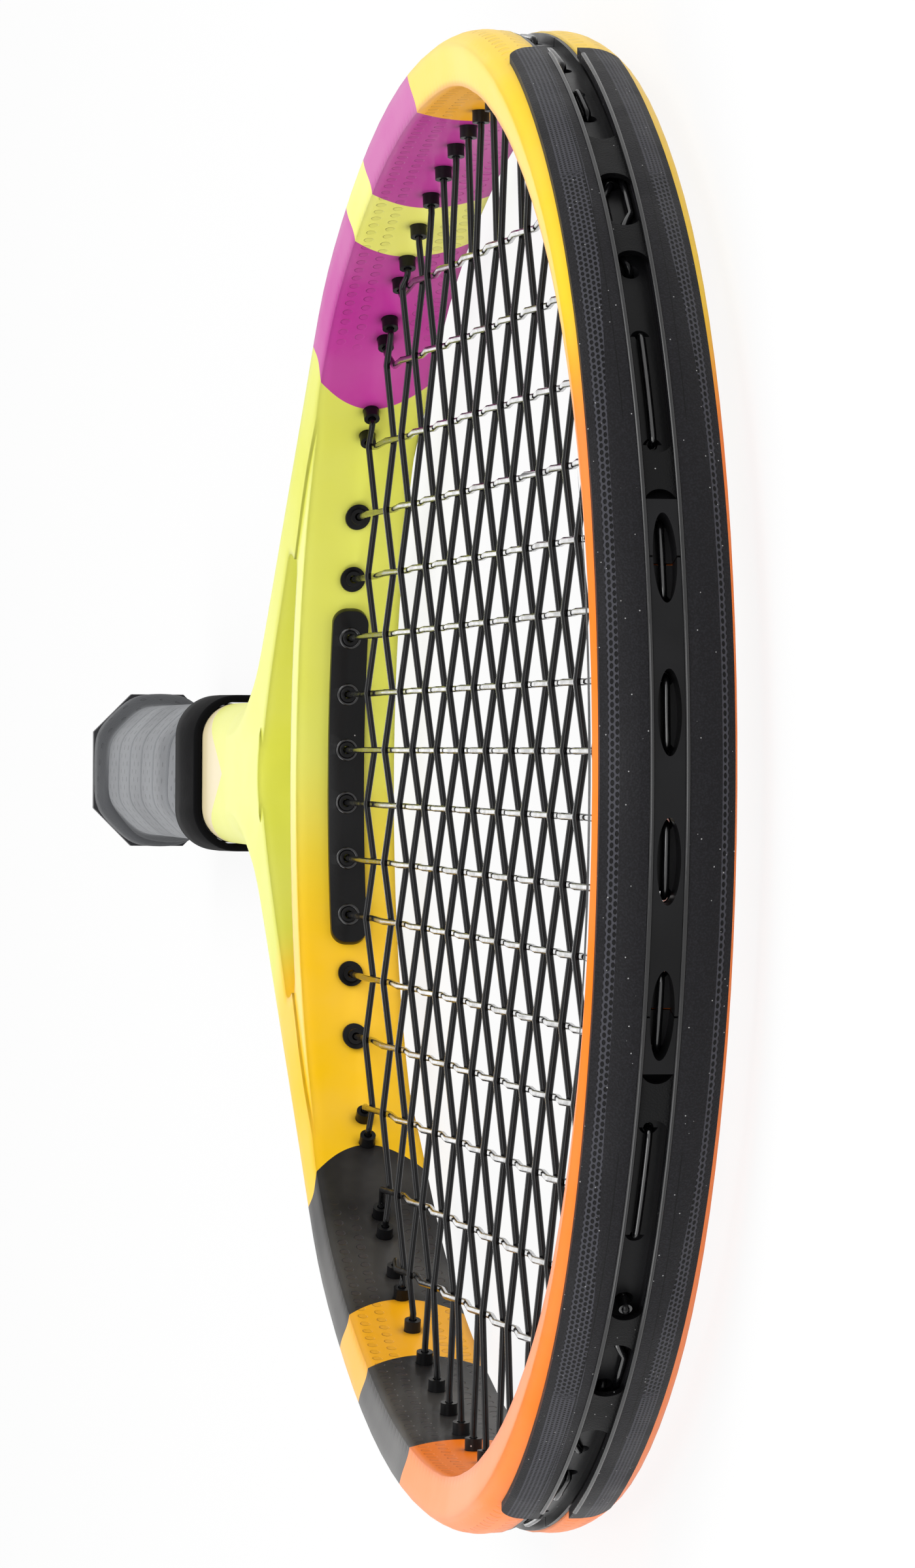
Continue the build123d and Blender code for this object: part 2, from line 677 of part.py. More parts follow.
REAR_RADIUS = BRIDGE_RADIUS + BRIDGE_DEPTH
CORNER_Y = solve(
    lambda y: arm_offset((BRIDGE_CENTRE[0] - (REAR_RADIUS**2 - y**2) ** 0.5, y)) + TUBE_IN,
    0.0, BRIDGE_TOUCH[1],
)
CORNER = (BRIDGE_CENTRE[0] - (REAR_RADIUS**2 - CORNER_Y**2) ** 0.5, CORNER_Y)
with BuildSketch() as throat_opening:
    with BuildLine():
        Line((CROTCH_X, 0), CORNER)
        CenterArc(
            BRIDGE_CENTRE, REAR_RADIUS, degrees(atan2(CORNER[1], CORNER[0] - BRIDGE_CENTRE[0])),
            2 * (180.0 - degrees(atan2(CORNER[1], CORNER[0] - BRIDGE_CENTRE[0]))),
        )
        Line((CORNER[0], -CORNER_Y), (CROTCH_X, 0))
    make_face()
    fillet(throat_opening.vertices().sort_by(Axis.X)[0], CROTCH_RADIUS)
    fillet(throat_opening.vertices().sort_by(Axis.Y)[0], THROAT_CORNER_RADIUS)
    fillet(throat_opening.vertices().sort_by(Axis.Y)[-1], THROAT_CORNER_RADIUS)

TALL = SIDE_CREST_Z + CUT_PAST
BRIDGE_CHANNEL_FROM = 180.0 - degrees(asin(BRIDGE_CHANNEL_HALF_Y / REAR_RADIUS))
BRIDGE_CHANNEL_TURN = 2 * (180.0 - BRIDGE_CHANNEL_FROM)
CHANNEL_ARM = max(hole.place for hole in HOOP_HOLES) - HOOP_END + CHANNEL_RUN_OUT
STRIP_ARM = CHANNEL_ARM - STRIP_SHORT
PLATE_END = arm_point(ARM_LENGTH * PLATE_SHARE)


def behind_bridge(floor):
    """The space behind the bridge, from this radius out."""
    outer = REAR_RADIUS + CUT_PAST
    with BuildSketch(mode=Mode.PRIVATE) as flat:
        with BuildLine():
            CenterArc(BRIDGE_CENTRE, floor, BRIDGE_CHANNEL_FROM, BRIDGE_CHANNEL_TURN)
            CenterArc(BRIDGE_CENTRE, outer, BRIDGE_CHANNEL_FROM, BRIDGE_CHANNEL_TURN)
            for angle in (BRIDGE_CHANNEL_FROM, -BRIDGE_CHANNEL_FROM):
                Line(polar(BRIDGE_CENTRE, floor, angle), polar(BRIDGE_CENTRE, outer, angle))
        make_face()
    return flat.sketch


with BuildPart() as half_frame:
    loft(half_tube())

with BuildPart() as frame:
    add(half_frame.part)
    mirror(half_frame.part, about=Plane.XZ)
    # Solid plate that the two openings leave as the bridge
    with BuildSketch() as plate:
        with BuildLine():
            Polyline(
                PLATE_END, ARM_START, (ARM_START[0], -ARM_START[1]), (PLATE_END[0], -PLATE_END[1]),
                close=True,
            )
        make_face()
    extrude(amount=BRIDGE_HALF_Z, both=True)
    with BuildSketch(Plane(origin=(SHAFT_START_X, 0, 0), x_dir=(0, 1, 0), z_dir=(1, 0, 0))):
        RectangleRounded(SHAFT_WIDTH, SHAFT_HEIGHT, SHAFT_CORNER)
    extrude(amount=SHAFT_END_X - SHAFT_START_X)
    with BuildSketch(Plane(origin=(CORE_START_X, 0, 0), x_dir=(0, 1, 0), z_dir=(1, 0, 0))):
        RectangleRounded(CORE_WIDTH, CORE_HEIGHT, CORE_CORNER)
    extrude(amount=SHAFT_START_X - CORE_START_X)
    extrude(head_opening.sketch, amount=TALL, both=True, mode=Mode.SUBTRACT)
    extrude(throat_opening.sketch, amount=TALL, both=True, mode=Mode.SUBTRACT)
    # Channel outside the head and the arms, and the one behind the bridge
    for side in BOTH:
        channel = band(0.0, HOOP_END, CHANNEL_FLOOR, TUBE_OUT + CHANNEL_OVERCUT, CHANNEL_ARM)
        if side < 0:
            channel = channel.mirror(Plane.XZ)
        extrude(channel, amount=CHANNEL_HALF, both=True, mode=Mode.SUBTRACT)
    extrude(behind_bridge(BRIDGE_FLOOR), amount=CHANNEL_HALF, both=True, mode=Mode.SUBTRACT)
    for hole in TIP_HOLES + LOW_HOLES + CROSS_HOLES:
        with Locations(hole.plane(1).offset(-HOLE_START), hole.plane(-1).offset(-HOLE_START)):
            Cylinder(HOLE_RADIUS, HOLE_START + hole.depth, align=UP_ALIGN, mode=Mode.SUBTRACT)
keep(frame.part, "frame")


# ---------------------------------------------------------------- bumper guard
SHELL_END = angle_at_x(BUMPER_END_X, 0.0) + SHELL_PAST


def tip_turn(length):
    """The angle that a length takes up round the tip."""
    return degrees(length / TIP_RADIUS)


# Ends of the blocks: past the rib, and then before the last two mains
BUMPER_BLOCKS = [
    (RIB_END + tip_turn(BUMPER_RIB_SPACE), TIP_HOLES[RIB_MAINS].place - tip_turn(BUMPER_MAIN_SPACE)),
]
for cross, main in ((CROSS_HOLES[0], TIP_HOLES[-2]), (CROSS_HOLES[1], TIP_HOLES[-1])):
    middle = (cross.place + main.place) / 2
    BUMPER_BLOCKS.append((middle - tip_turn(BUMPER_BLOCK / 2), middle + tip_turn(BUMPER_BLOCK / 2)))


def bumper_loft(grow, inner):
    return [tube_section(hoop_point(angle), angle, inner, grow) for angle in hoop_stations(SHELL_END)]


with BuildPart() as half_bumper:
    loft(bumper_loft(BUMPER_GAP + BUMPER_THICKNESS, LOFT_INNER))
    loft(bumper_loft(BUMPER_GAP, LOFT_INNER + CUT_PAST), mode=Mode.SUBTRACT)
    # Side view: the wings' edges, with rounded ends
    with BuildSketch(Plane.XZ.offset(-SIDE_REACH)) as wings:
        with BuildLine():
            Polyline(
                (BUMPER_END_X, BUMPER_EDGE_END_Z), (LENGTH + CUT_PAST, BUMPER_EDGE_TIP_Z),
                (LENGTH + CUT_PAST, -BUMPER_EDGE_TIP_Z), (BUMPER_END_X, -BUMPER_EDGE_END_Z), close=True,
            )
        make_face()
        fillet(wings.vertices().group_by(Axis.X)[0], BUMPER_CORNER)
    extrude(amount=SIDE_REACH, mode=Mode.INTERSECT)
    # The slot, shallow over the blocks and open with rounded ends between them
    slot = band(0.0, SHELL_END, BUMPER_BLOCK_TOP, TUBE_OUT + CHANNEL_OVERCUT)
    extrude(slot, amount=BUMPER_SLOT_HALF, both=True, mode=Mode.SUBTRACT)
    open_from = 0.0
    for first, last in BUMPER_BLOCKS + [(SHELL_END, SHELL_END)]:
        starts = open_from + (tip_turn(BUMPER_SLOT_HALF) if open_from else 0.0)
        ends = first - (tip_turn(BUMPER_SLOT_HALF) if first < SHELL_END else 0.0)
        window = band(starts, ends, CHANNEL_FLOOR, TUBE_OUT + CHANNEL_OVERCUT)
        extrude(window, amount=BUMPER_SLOT_HALF, both=True, mode=Mode.SUBTRACT)
        for angle in (starts, ends):
            if 0.0 < angle < SHELL_END:
                x, y = hoop_point(angle, CHANNEL_FLOOR)
                way = (cos(radians(angle)), sin(radians(angle)), 0)
                with Locations(Plane(origin=(x, y, 0), x_dir=(0, 0, 1), z_dir=way)):
                    tall = CHANNEL_DEPTH + CHANNEL_OVERCUT
                    Cylinder(BUMPER_SLOT_HALF, tall, align=UP_ALIGN, mode=Mode.SUBTRACT)
        open_from = last

with BuildPart() as bumper_guard:
    add(half_bumper.part)
    mirror(half_bumper.part, about=Plane.XZ)
keep(bumper_guard.part, "bumper_guard")


# ---------------------------------------------------------------- grommet strips
def barrels(holes, sides):
    """Barrels from a strip's base through the tube."""
    for hole in holes:
        for side in sides:
            with Locations(hole.plane(side).offset(-BARREL_REACH)):
                Cylinder(BARREL_RADIUS, BARREL_REACH + hole.bed - STRIP_THICKNESS / 4, align=UP_ALIGN)


def bores(holes, sides):
    """The string's way through each barrel, with a flared mouth outside."""
    for hole in holes:
        for side in sides:
            with Locations(hole.plane(side).offset(-BARREL_REACH - CUT_PAST)):
                length = BARREL_REACH + hole.depth + CUT_PAST
                Cylinder(BARREL_BORE, length, align=UP_ALIGN, mode=Mode.SUBTRACT)
            with Locations(hole.plane(side).offset(hole.bed - MOUTH_DEPTH)):
                Cone(BARREL_BORE, MOUTH_RADIUS, MOUTH_DEPTH, align=UP_ALIGN, mode=Mode.SUBTRACT)


def side_band(start, end, inner, outer, side, arm=0.0):
    """A band at +Y, or its mirror image at -Y."""
    flat = band(start, end, inner, outer, arm)
    return flat if side > 0 else flat.mirror(Plane.XZ)


RIB_TOP = TUBE_OUT + BUMPER_GAP + BUMPER_THICKNESS


def strip(start, end, arm, sides, holes):
    """A base with a rail along each edge, its barrels, and the rib where it has one."""
    for side in sides:
        body = side_band(start, end, STRIP_BASE, TUBE_OUT - RAIL_DROP, side, arm)
        extrude(body, amount=STRIP_HALF, both=True)
    barrels(holes, sides)
    for side in sides:
        bed = side_band(start, end, STRIP_TOP, TUBE_OUT + CUT_PAST, side, arm)
        extrude(bed, amount=STRIP_HALF - STRIP_RAIL, both=True, mode=Mode.SUBTRACT)
        if start < RIB_END:
            rib = side_band(start, min(end, RIB_END), STRIP_BASE, RIB_TOP, side)
            extrude(rib, amount=TIP_RIB_HALF, both=True)
            recesses(side)
    bores(holes, sides)


def recesses(side):
    """Almond-shaped recesses in the rib, each over the loop of two mains."""
    for first, last in zip(TIP_HOLES[0:RIB_MAINS:2], TIP_HOLES[1:RIB_MAINS:2]):
        middle = (first.place + last.place) / 2
        span = dist(outside(first, 1), outside(last, 1))
        x, y = hoop_point(middle, STRIP_TOP - RECESS_SINK)
        way = (cos(radians(middle)), side * sin(radians(middle)), 0)
        plane = Plane(origin=(x, side * y, 0), x_dir=(-way[1], way[0], 0), z_dir=way)
        with BuildSketch(plane, mode=Mode.PRIVATE) as almond:
            Ellipse(span / 2 + RECESS_MARGIN, RECESS_HALF)
        extrude(almond.sketch, amount=TUBE_OUT + CHANNEL_OVERCUT, mode=Mode.SUBTRACT)


def held(first, last):
    """The channel's holes between two places."""
    return [hole for hole in HOOP_HOLES if first < hole.place < last]


SHOULDER_END = angle_at_x(SHOULDER_END_X, 0.0)
STRIP_SPLIT = degrees(JOINT_GAP / TIP_RADIUS)

with BuildPart() as tip_grommet_strip:
    strip(0.0, TIP_STRIP_END, 0.0, BOTH, TIP_HOLES[:TIP_STRIP_MAINS])
keep(tip_grommet_strip.part, "tip_grommet_strip")

for name, side in SIDES.items():
    with BuildPart() as shoulder_strip:
        shoulder_holes = held(TIP_STRIP_END, SHOULDER_END)
        strip(TIP_STRIP_END + STRIP_SPLIT, SHOULDER_END, 0.0, (side,), shoulder_holes)
    keep(shoulder_strip.part, name + "_shoulder_grommet_strip")

    with BuildPart() as side_strip:
        side_holes = held(SHOULDER_END, HOOP_END + STRIP_ARM)
        strip(SHOULDER_END + STRIP_SPLIT, HOOP_END, STRIP_ARM, (side,), side_holes)
    keep(side_strip.part, name + "_side_grommet_strip")


# ---------------------------------------------------------------- throat grommets
def bridge_band(half_turn, thickness, middle=180.0):
    """A band on the bridge's inner face, round an angle."""
    outer = BRIDGE_RADIUS - BOND_GAP
    with BuildSketch(mode=Mode.PRIVATE) as flat:
        with BuildLine():
            CenterArc(BRIDGE_CENTRE, outer, middle - half_turn, 2 * half_turn)
            CenterArc(BRIDGE_CENTRE, outer - thickness, middle - half_turn, 2 * half_turn)
            for angle in (middle - half_turn, middle + half_turn):
                Line(polar(BRIDGE_CENTRE, outer, angle), polar(BRIDGE_CENTRE, outer - thickness, angle))
        make_face()
    return flat.sketch


def bridge_barrels(holes, sides, reach):
    """Barrels through the bridge, flush with the floor of the channel behind it."""
    for hole in holes:
        for side in sides:
            with Locations(hole.plane(side).offset(-reach)):
                Cylinder(BARREL_RADIUS, reach + hole.depth, align=UP_ALIGN)
    extrude(behind_bridge(BRIDGE_FLOOR - STRIP_GAP), amount=CHANNEL_HALF, both=True, mode=Mode.SUBTRACT)


def bridge_bore(hole, side, reach):
    base = hole.depth - STRING_RADIUS - STRING_LIFT
    with Locations(hole.plane(side).offset(-reach - CUT_PAST)):
        Cylinder(BARREL_BORE, reach + base + 2 * CUT_PAST, align=UP_ALIGN, mode=Mode.SUBTRACT)
    with Locations(hole.plane(side).offset(base - MOUTH_DEPTH)):
        Cone(BARREL_BORE, BARREL_RADIUS - MOUTH_LIP, MOUTH_DEPTH, align=UP_ALIGN, mode=Mode.SUBTRACT)


PAD_REACH = PAD_THICKNESS + PAD_BOSS
FLANGE_TURN = degrees(2 * GROMMET_FLANGE_RADIUS / BRIDGE_RADIUS)
FLANGE_CUT = 6.0            # the cutter for a round flange reaches this far each way
PAD_HALF_TURN = degrees(asin(PAD_HALF_WIDTH / BRIDGE_RADIUS))
with BuildPart() as throat_grommet_pad:
    extrude(bridge_band(PAD_HALF_TURN, PAD_THICKNESS), amount=PAD_HALF_Z, both=True)
    ends = throat_grommet_pad.edges().filter_by(GeomType.LINE)
    fillet(ends.filter_by(lambda edge: abs(edge.tangent_at(0).Z) < 0.5), PAD_CORNER)
    bridge_barrels(LOW_HOLES[:PAD_MAINS], BOTH, PAD_REACH)
    for hole in LOW_HOLES[:PAD_MAINS]:
        for side in BOTH:
            bridge_bore(hole, side, PAD_REACH)
keep(throat_grommet_pad.part, "throat_grommet_pad")

for name, side in SIDES.items():
    for number in range(PAD_MAINS, BRIDGE_MAINS):
        hole = LOW_HOLES[number]
        angle = side * (180.0 - degrees(asin(MAIN_Y[number] / BRIDGE_RADIUS)))
        with BuildPart() as throat_grommet:
            flange = bridge_band(FLANGE_TURN, GROMMET_FLANGE, angle)
            extrude(flange, amount=2 * GROMMET_FLANGE_RADIUS, both=True)
            with Locations(hole.plane(side).offset(-FLANGE_CUT)):
                Cylinder(GROMMET_FLANGE_RADIUS, 2 * FLANGE_CUT, align=UP_ALIGN, mode=Mode.INTERSECT)
            bridge_barrels([hole], (side,), BARREL_REACH)
            bridge_bore(hole, side, BARREL_REACH)
        keep(throat_grommet.part, name + "_throat_grommet_" + str(number + 1))


# ---------------------------------------------------------------- strings and knots
def string_plane(path):
    return Plane(origin=path[0], z_dir=path[1] - path[0])


for label, path in (("main_string", MAIN_PATH), ("cross_string", CROSS_PATH)):
    with BuildPart() as string:
        with BuildLine():
            Polyline(*path)
        with BuildSketch(string_plane(path)):
            RegularPolygon(STRING_RADIUS, STRING_SIDES)
        sweep(transition=Transition.RIGHT)
    keep(string.part, label)

KNOTS = {
    "main_knot_left": (MAIN_END, 1),
    "main_knot_right": (MAIN_END, -1),
    "cross_knot_right": (CROSS_HOLES[0], -1),
    "cross_knot_left": (CROSS_HOLES[-1], 1),
}
for label, (hole, side) in KNOTS.items():
    with BuildPart() as knot:
        with Locations(hole.plane(side).offset(hole.bed + KNOT_LIFT)):
            Cylinder(KNOT_RADIUS, KNOT_LENGTH - KNOT_LIFT, align=UP_ALIGN)
            Cylinder(STRING_RADIUS + KNOT_GAP, KNOT_LENGTH, align=UP_ALIGN, mode=Mode.SUBTRACT)
    keep(knot.part, label)


# ---------------------------------------------------------------- handle
GRIP_INNER_WIDTH = GRIP_WIDTH - 2 * GRIP_THICKNESS
GRIP_INNER_HEIGHT = GRIP_HEIGHT - 2 * GRIP_THICKNESS
GRIP_TOP_INNER_WIDTH = GRIP_TOP_WIDTH - 2 * GRIP_THICKNESS
GRIP_TOP_INNER_HEIGHT = GRIP_TOP_HEIGHT - 2 * GRIP_THICKNESS
STAPLE_SLOT = STAPLE_WIRE + 2 * BOND_GAP
STAPLE_SPREAD = (STAPLE_WIDTH - STAPLE_WIRE) / 2
PALLET_WIDTH = GRIP_INNER_WIDTH - 2 * BOND_GAP
PALLET_HEIGHT = GRIP_INNER_HEIGHT - 2 * BOND_GAP
PALLET_TOP_WIDTH = GRIP_TOP_INNER_WIDTH - 2 * BOND_GAP
PALLET_TOP_HEIGHT = GRIP_TOP_INNER_HEIGHT - 2 * BOND_GAP
CAP_BORE_WIDTH = PALLET_WIDTH - 2 * CAP_WALL
CAP_BORE_HEIGHT = PALLET_HEIGHT - 2 * CAP_WALL
NECK_WIDTH = CAP_BORE_WIDTH - 2 * BOND_GAP
NECK_HEIGHT = CAP_BORE_HEIGHT - 2 * BOND_GAP
NECK_END_X = CAP_LENGTH + BOND_GAP
INNER_CORNER = GRIP_CORNER * GRIP_INNER_HEIGHT / GRIP_HEIGHT
TOP_CORNER = GRIP_CORNER * GRIP_TOP_HEIGHT / GRIP_HEIGHT
TOP_INNER_CORNER = GRIP_CORNER * GRIP_TOP_INNER_HEIGHT / GRIP_HEIGHT
NECK_CORNER = GRIP_CORNER * NECK_HEIGHT / GRIP_HEIGHT
FLARE_CORNER = GRIP_CORNER * FLARE_HEIGHT / GRIP_HEIGHT
FLARE_INNER_WIDTH = FLARE_WIDTH - 2 * GRIP_THICKNESS
FLARE_INNER_HEIGHT = FLARE_HEIGHT - 2 * GRIP_THICKNESS
FLARE_INNER_CORNER = GRIP_CORNER * FLARE_INNER_HEIGHT / GRIP_HEIGHT
CAP_SKIN_WIDTH = FLARE_INNER_WIDTH - 2 * BOND_GAP
CAP_SKIN_HEIGHT = FLARE_INNER_HEIGHT - 2 * BOND_GAP


Z_SIDES = ((1, UP_ALIGN), (-1, DOWN_ALIGN))      # the front and the rear, and how a box grows outwards there


def staple_legs(z_side, align):
    """Holes for the legs of one staple."""
    for leg in (1, -1):
        with Locations((STAPLE_X, leg * STAPLE_SPREAD, z_side * (PALLET_HEIGHT / 2 - STAPLE_DEPTH))):
            Box(STAPLE_SLOT, STAPLE_SLOT, STAPLE_DEPTH, align=align, mode=Mode.SUBTRACT)


def tapered(start, end, lower, upper, mode=Mode.ADD):
    """An octagonal bar that narrows between the grip's taper stations; sizes are width, height and corner."""
    extrude(octagon(start, *lower), amount=TAPER_START_X - start, mode=mode)
    loft([octagon(TAPER_START_X, *lower), octagon(TAPER_END_X, *upper)], mode=mode)
    extrude(octagon(TAPER_END_X, *upper), amount=end - TAPER_END_X, mode=mode)


with BuildPart() as handle_pallet:
    tapered(
        NECK_END_X, PALLET_END_X, (PALLET_WIDTH, PALLET_HEIGHT, INNER_CORNER),
        (PALLET_TOP_WIDTH, PALLET_TOP_HEIGHT, TOP_INNER_CORNER),
    )
    extrude(octagon(PALLET_START_X, NECK_WIDTH, NECK_HEIGHT, NECK_CORNER), amount=NECK_END_X - PALLET_START_X)
    bore_start = CORE_START_X - BOND_GAP
    core_bore = rounded(bore_start, CORE_WIDTH + 2 * BOND_GAP, CORE_HEIGHT + 2 * BOND_GAP, CORE_CORNER)
    extrude(core_bore, amount=PALLET_END_X, mode=Mode.SUBTRACT)
    neck_bore = rounded(0, NECK_WIDTH - 2 * NECK_WALL, NECK_HEIGHT - 2 * NECK_WALL, CORE_CORNER)
    extrude(neck_bore, amount=CORE_START_X, mode=Mode.SUBTRACT)
    for z_side, align in Z_SIDES:
        staple_legs(z_side, align)
keep(handle_pallet.part, "handle_pallet")

with BuildPart() as butt_cap:
    extrude(octagon(0, FLARE_WIDTH, FLARE_HEIGHT, FLARE_CORNER), amount=GRIP_START_X - BOND_GAP)
    extrude(octagon(0, CAP_SKIN_WIDTH, CAP_SKIN_HEIGHT, FLARE_INNER_CORNER), amount=FLARE_START_X)
    loft([
        octagon(FLARE_START_X, CAP_SKIN_WIDTH, CAP_SKIN_HEIGHT, FLARE_INNER_CORNER),
        octagon(FLARE_END_X, PALLET_WIDTH, PALLET_HEIGHT, INNER_CORNER),
    ])
    extrude(octagon(FLARE_END_X, PALLET_WIDTH, PALLET_HEIGHT, INNER_CORNER), amount=CAP_LENGTH - FLARE_END_X)
    cap_bore = octagon(CAP_END_THICKNESS, CAP_BORE_WIDTH, CAP_BORE_HEIGHT, NECK_CORNER)
    extrude(cap_bore, amount=CAP_LENGTH, mode=Mode.SUBTRACT)
    door_seat = rounded(0, DOOR_WIDTH + 2 * DOOR_GAP, DOOR_HEIGHT + 2 * DOOR_GAP, DOOR_CORNER)
    extrude(door_seat, amount=DOOR_THICKNESS + DOOR_GAP, mode=Mode.SUBTRACT)
    door_hole = rounded(0, DOOR_WIDTH - 2 * DOOR_LEDGE, DOOR_HEIGHT - 2 * DOOR_LEDGE, DOOR_CORNER)
    extrude(door_hole, amount=CAP_END_THICKNESS, mode=Mode.SUBTRACT)
    for z_side, align in Z_SIDES:
        with Locations((STAPLE_X, 0, z_side * (PALLET_HEIGHT / 2 - STAPLE_SLOT))):
            Box(STAPLE_SLOT, STAPLE_WIDTH + 2 * BOND_GAP, 2 * STAPLE_SLOT, align=align, mode=Mode.SUBTRACT)
        staple_legs(z_side, align)
keep(butt_cap.part, "butt_cap")

with BuildPart() as trap_door:
    extrude(rounded(0, DOOR_WIDTH, DOOR_HEIGHT, DOOR_CORNER), amount=DOOR_THICKNESS)
    for z_side in (1, -1):
        leg_z = z_side * (DOOR_HEIGHT / 2 - DOOR_LEDGE - DOOR_GAP - DOOR_LEG_THICKNESS / 2)
        with Locations((DOOR_THICKNESS, 0, leg_z)):
            Box(DOOR_LEG, DOOR_LEG_WIDTH, DOOR_LEG_THICKNESS, align=(Align.MIN, Align.CENTER, Align.CENTER))
    # Finger notch across the outside
    with Locations((0, 0, DOOR_HEIGHT / 4)):
        Box(DOOR_NOTCH, DOOR_WIDTH / 2, DOOR_NOTCH, mode=Mode.SUBTRACT)
keep(trap_door.part, "trap_door")

for name, (z_side, align) in zip(("front", "rear"), Z_SIDES):
    inwards = DOWN_ALIGN if align is UP_ALIGN else UP_ALIGN
    with BuildPart() as staple:
        crown_z = z_side * (PALLET_HEIGHT / 2 - STAPLE_SLOT + BOND_GAP)
        with Locations((STAPLE_X, 0, crown_z)):
            Box(STAPLE_WIRE, STAPLE_WIDTH, STAPLE_WIRE, align=align)
        for leg in (1, -1):
            with Locations((STAPLE_X, leg * STAPLE_SPREAD, crown_z)):
                Box(STAPLE_WIRE, STAPLE_WIRE, STAPLE_DEPTH - STAPLE_SLOT, align=inwards)
    keep(staple.part, name + "_cap_staple")

with BuildPart() as base_grip:
    flare = octagon(GRIP_START_X, FLARE_WIDTH, FLARE_HEIGHT, FLARE_CORNER)
    extrude(flare, amount=FLARE_START_X - GRIP_START_X)
    loft([
        octagon(FLARE_START_X, FLARE_WIDTH, FLARE_HEIGHT, FLARE_CORNER),
        octagon(FLARE_END_X, GRIP_WIDTH, GRIP_HEIGHT, GRIP_CORNER),
    ])
    tapered(
        FLARE_END_X, GRIP_END_X, (GRIP_WIDTH, GRIP_HEIGHT, GRIP_CORNER),
        (GRIP_TOP_WIDTH, GRIP_TOP_HEIGHT, TOP_CORNER),
    )
    flare_bore = octagon(GRIP_START_X, FLARE_INNER_WIDTH, FLARE_INNER_HEIGHT, FLARE_INNER_CORNER)
    extrude(flare_bore, amount=FLARE_START_X - GRIP_START_X, mode=Mode.SUBTRACT)
    loft([
        octagon(FLARE_START_X, FLARE_INNER_WIDTH, FLARE_INNER_HEIGHT, FLARE_INNER_CORNER),
        octagon(FLARE_END_X, GRIP_INNER_WIDTH, GRIP_INNER_HEIGHT, INNER_CORNER),
    ], mode=Mode.SUBTRACT)
    tapered(
        FLARE_END_X, GRIP_END_X, (GRIP_INNER_WIDTH, GRIP_INNER_HEIGHT, INNER_CORNER),
        (GRIP_TOP_INNER_WIDTH, GRIP_TOP_INNER_HEIGHT, TOP_INNER_CORNER), Mode.SUBTRACT,
    )
keep(base_grip.part, "base_grip")

TAPE_INNER_WIDTH = GRIP_TOP_WIDTH + 2 * BOND_GAP
TAPE_INNER_HEIGHT = GRIP_TOP_HEIGHT + 2 * BOND_GAP
TAPE_WIDTH = TAPE_INNER_WIDTH + 2 * TAPE_THICKNESS
TAPE_HEIGHT = TAPE_INNER_HEIGHT + 2 * TAPE_THICKNESS
TAPE_START_X = GRIP_END_X - TAPE_LENGTH
with BuildPart() as finishing_tape:
    extrude(octagon(TAPE_START_X, TAPE_WIDTH, TAPE_HEIGHT, TOP_CORNER), amount=TAPE_LENGTH)
    tape_bore = octagon(TAPE_START_X, TAPE_INNER_WIDTH, TAPE_INNER_HEIGHT, TOP_CORNER)
    extrude(tape_bore, amount=TAPE_LENGTH, mode=Mode.SUBTRACT)
keep(finishing_tape.part, "finishing_tape")

# ---------------------------------------------------------------- rubber collar
COLLAR_BORE_WIDTH = TAPE_WIDTH + 2 * COLLAR_GAP
COLLAR_BORE_HEIGHT = TAPE_HEIGHT + 2 * COLLAR_GAP
COLLAR_WIDTH = COLLAR_BORE_WIDTH + 2 * COLLAR_WALL
COLLAR_HEIGHT = COLLAR_BORE_HEIGHT + 2 * COLLAR_WALL
COLLAR_NOSE_WIDTH = SHAFT_WIDTH + 2 * (COLLAR_GAP + COLLAR_WALL)
COLLAR_NOSE_HEIGHT = SHAFT_HEIGHT + 2 * (COLLAR_GAP + COLLAR_WALL)
COLLAR_ROUND = COLLAR_CORNER + COLLAR_WALL
COLLAR_BORE_ROUND = SHAFT_CORNER + COLLAR_GAP
with BuildPart() as rubber_collar:
    collar_back = rounded(COLLAR_START_X, COLLAR_WIDTH, COLLAR_HEIGHT, COLLAR_ROUND)
    extrude(collar_back, amount=COLLAR_STEP_X - COLLAR_START_X)
    loft([
        rounded(COLLAR_STEP_X, COLLAR_WIDTH, COLLAR_HEIGHT, COLLAR_ROUND),
        rounded(COLLAR_END_X, COLLAR_NOSE_WIDTH, COLLAR_NOSE_HEIGHT, COLLAR_BORE_ROUND + COLLAR_WALL),
    ])
    collar_bore = rounded(COLLAR_START_X, COLLAR_BORE_WIDTH, COLLAR_BORE_HEIGHT, COLLAR_CORNER)
    extrude(collar_bore, amount=COLLAR_STEP_X - COLLAR_START_X, mode=Mode.SUBTRACT)
    shaft_bore = rounded(
        COLLAR_STEP_X, SHAFT_WIDTH + 2 * COLLAR_GAP, SHAFT_HEIGHT + 2 * COLLAR_GAP, COLLAR_BORE_ROUND,
    )
    extrude(shaft_bore, amount=COLLAR_END_X - COLLAR_STEP_X, mode=Mode.SUBTRACT)
keep(rubber_collar.part, "rubber_collar")
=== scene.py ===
import math

import bmesh
import bpy
from mathutils import Matrix, Vector
from mathutils.bvhtree import BVHTree


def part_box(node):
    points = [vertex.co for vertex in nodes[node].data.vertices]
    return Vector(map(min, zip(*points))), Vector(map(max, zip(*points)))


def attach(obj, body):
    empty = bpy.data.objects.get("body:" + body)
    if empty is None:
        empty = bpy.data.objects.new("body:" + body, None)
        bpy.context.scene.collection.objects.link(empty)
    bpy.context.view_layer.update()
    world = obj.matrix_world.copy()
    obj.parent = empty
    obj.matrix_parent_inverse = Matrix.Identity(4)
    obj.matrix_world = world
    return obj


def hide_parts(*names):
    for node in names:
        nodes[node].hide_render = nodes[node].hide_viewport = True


MM = 0.001

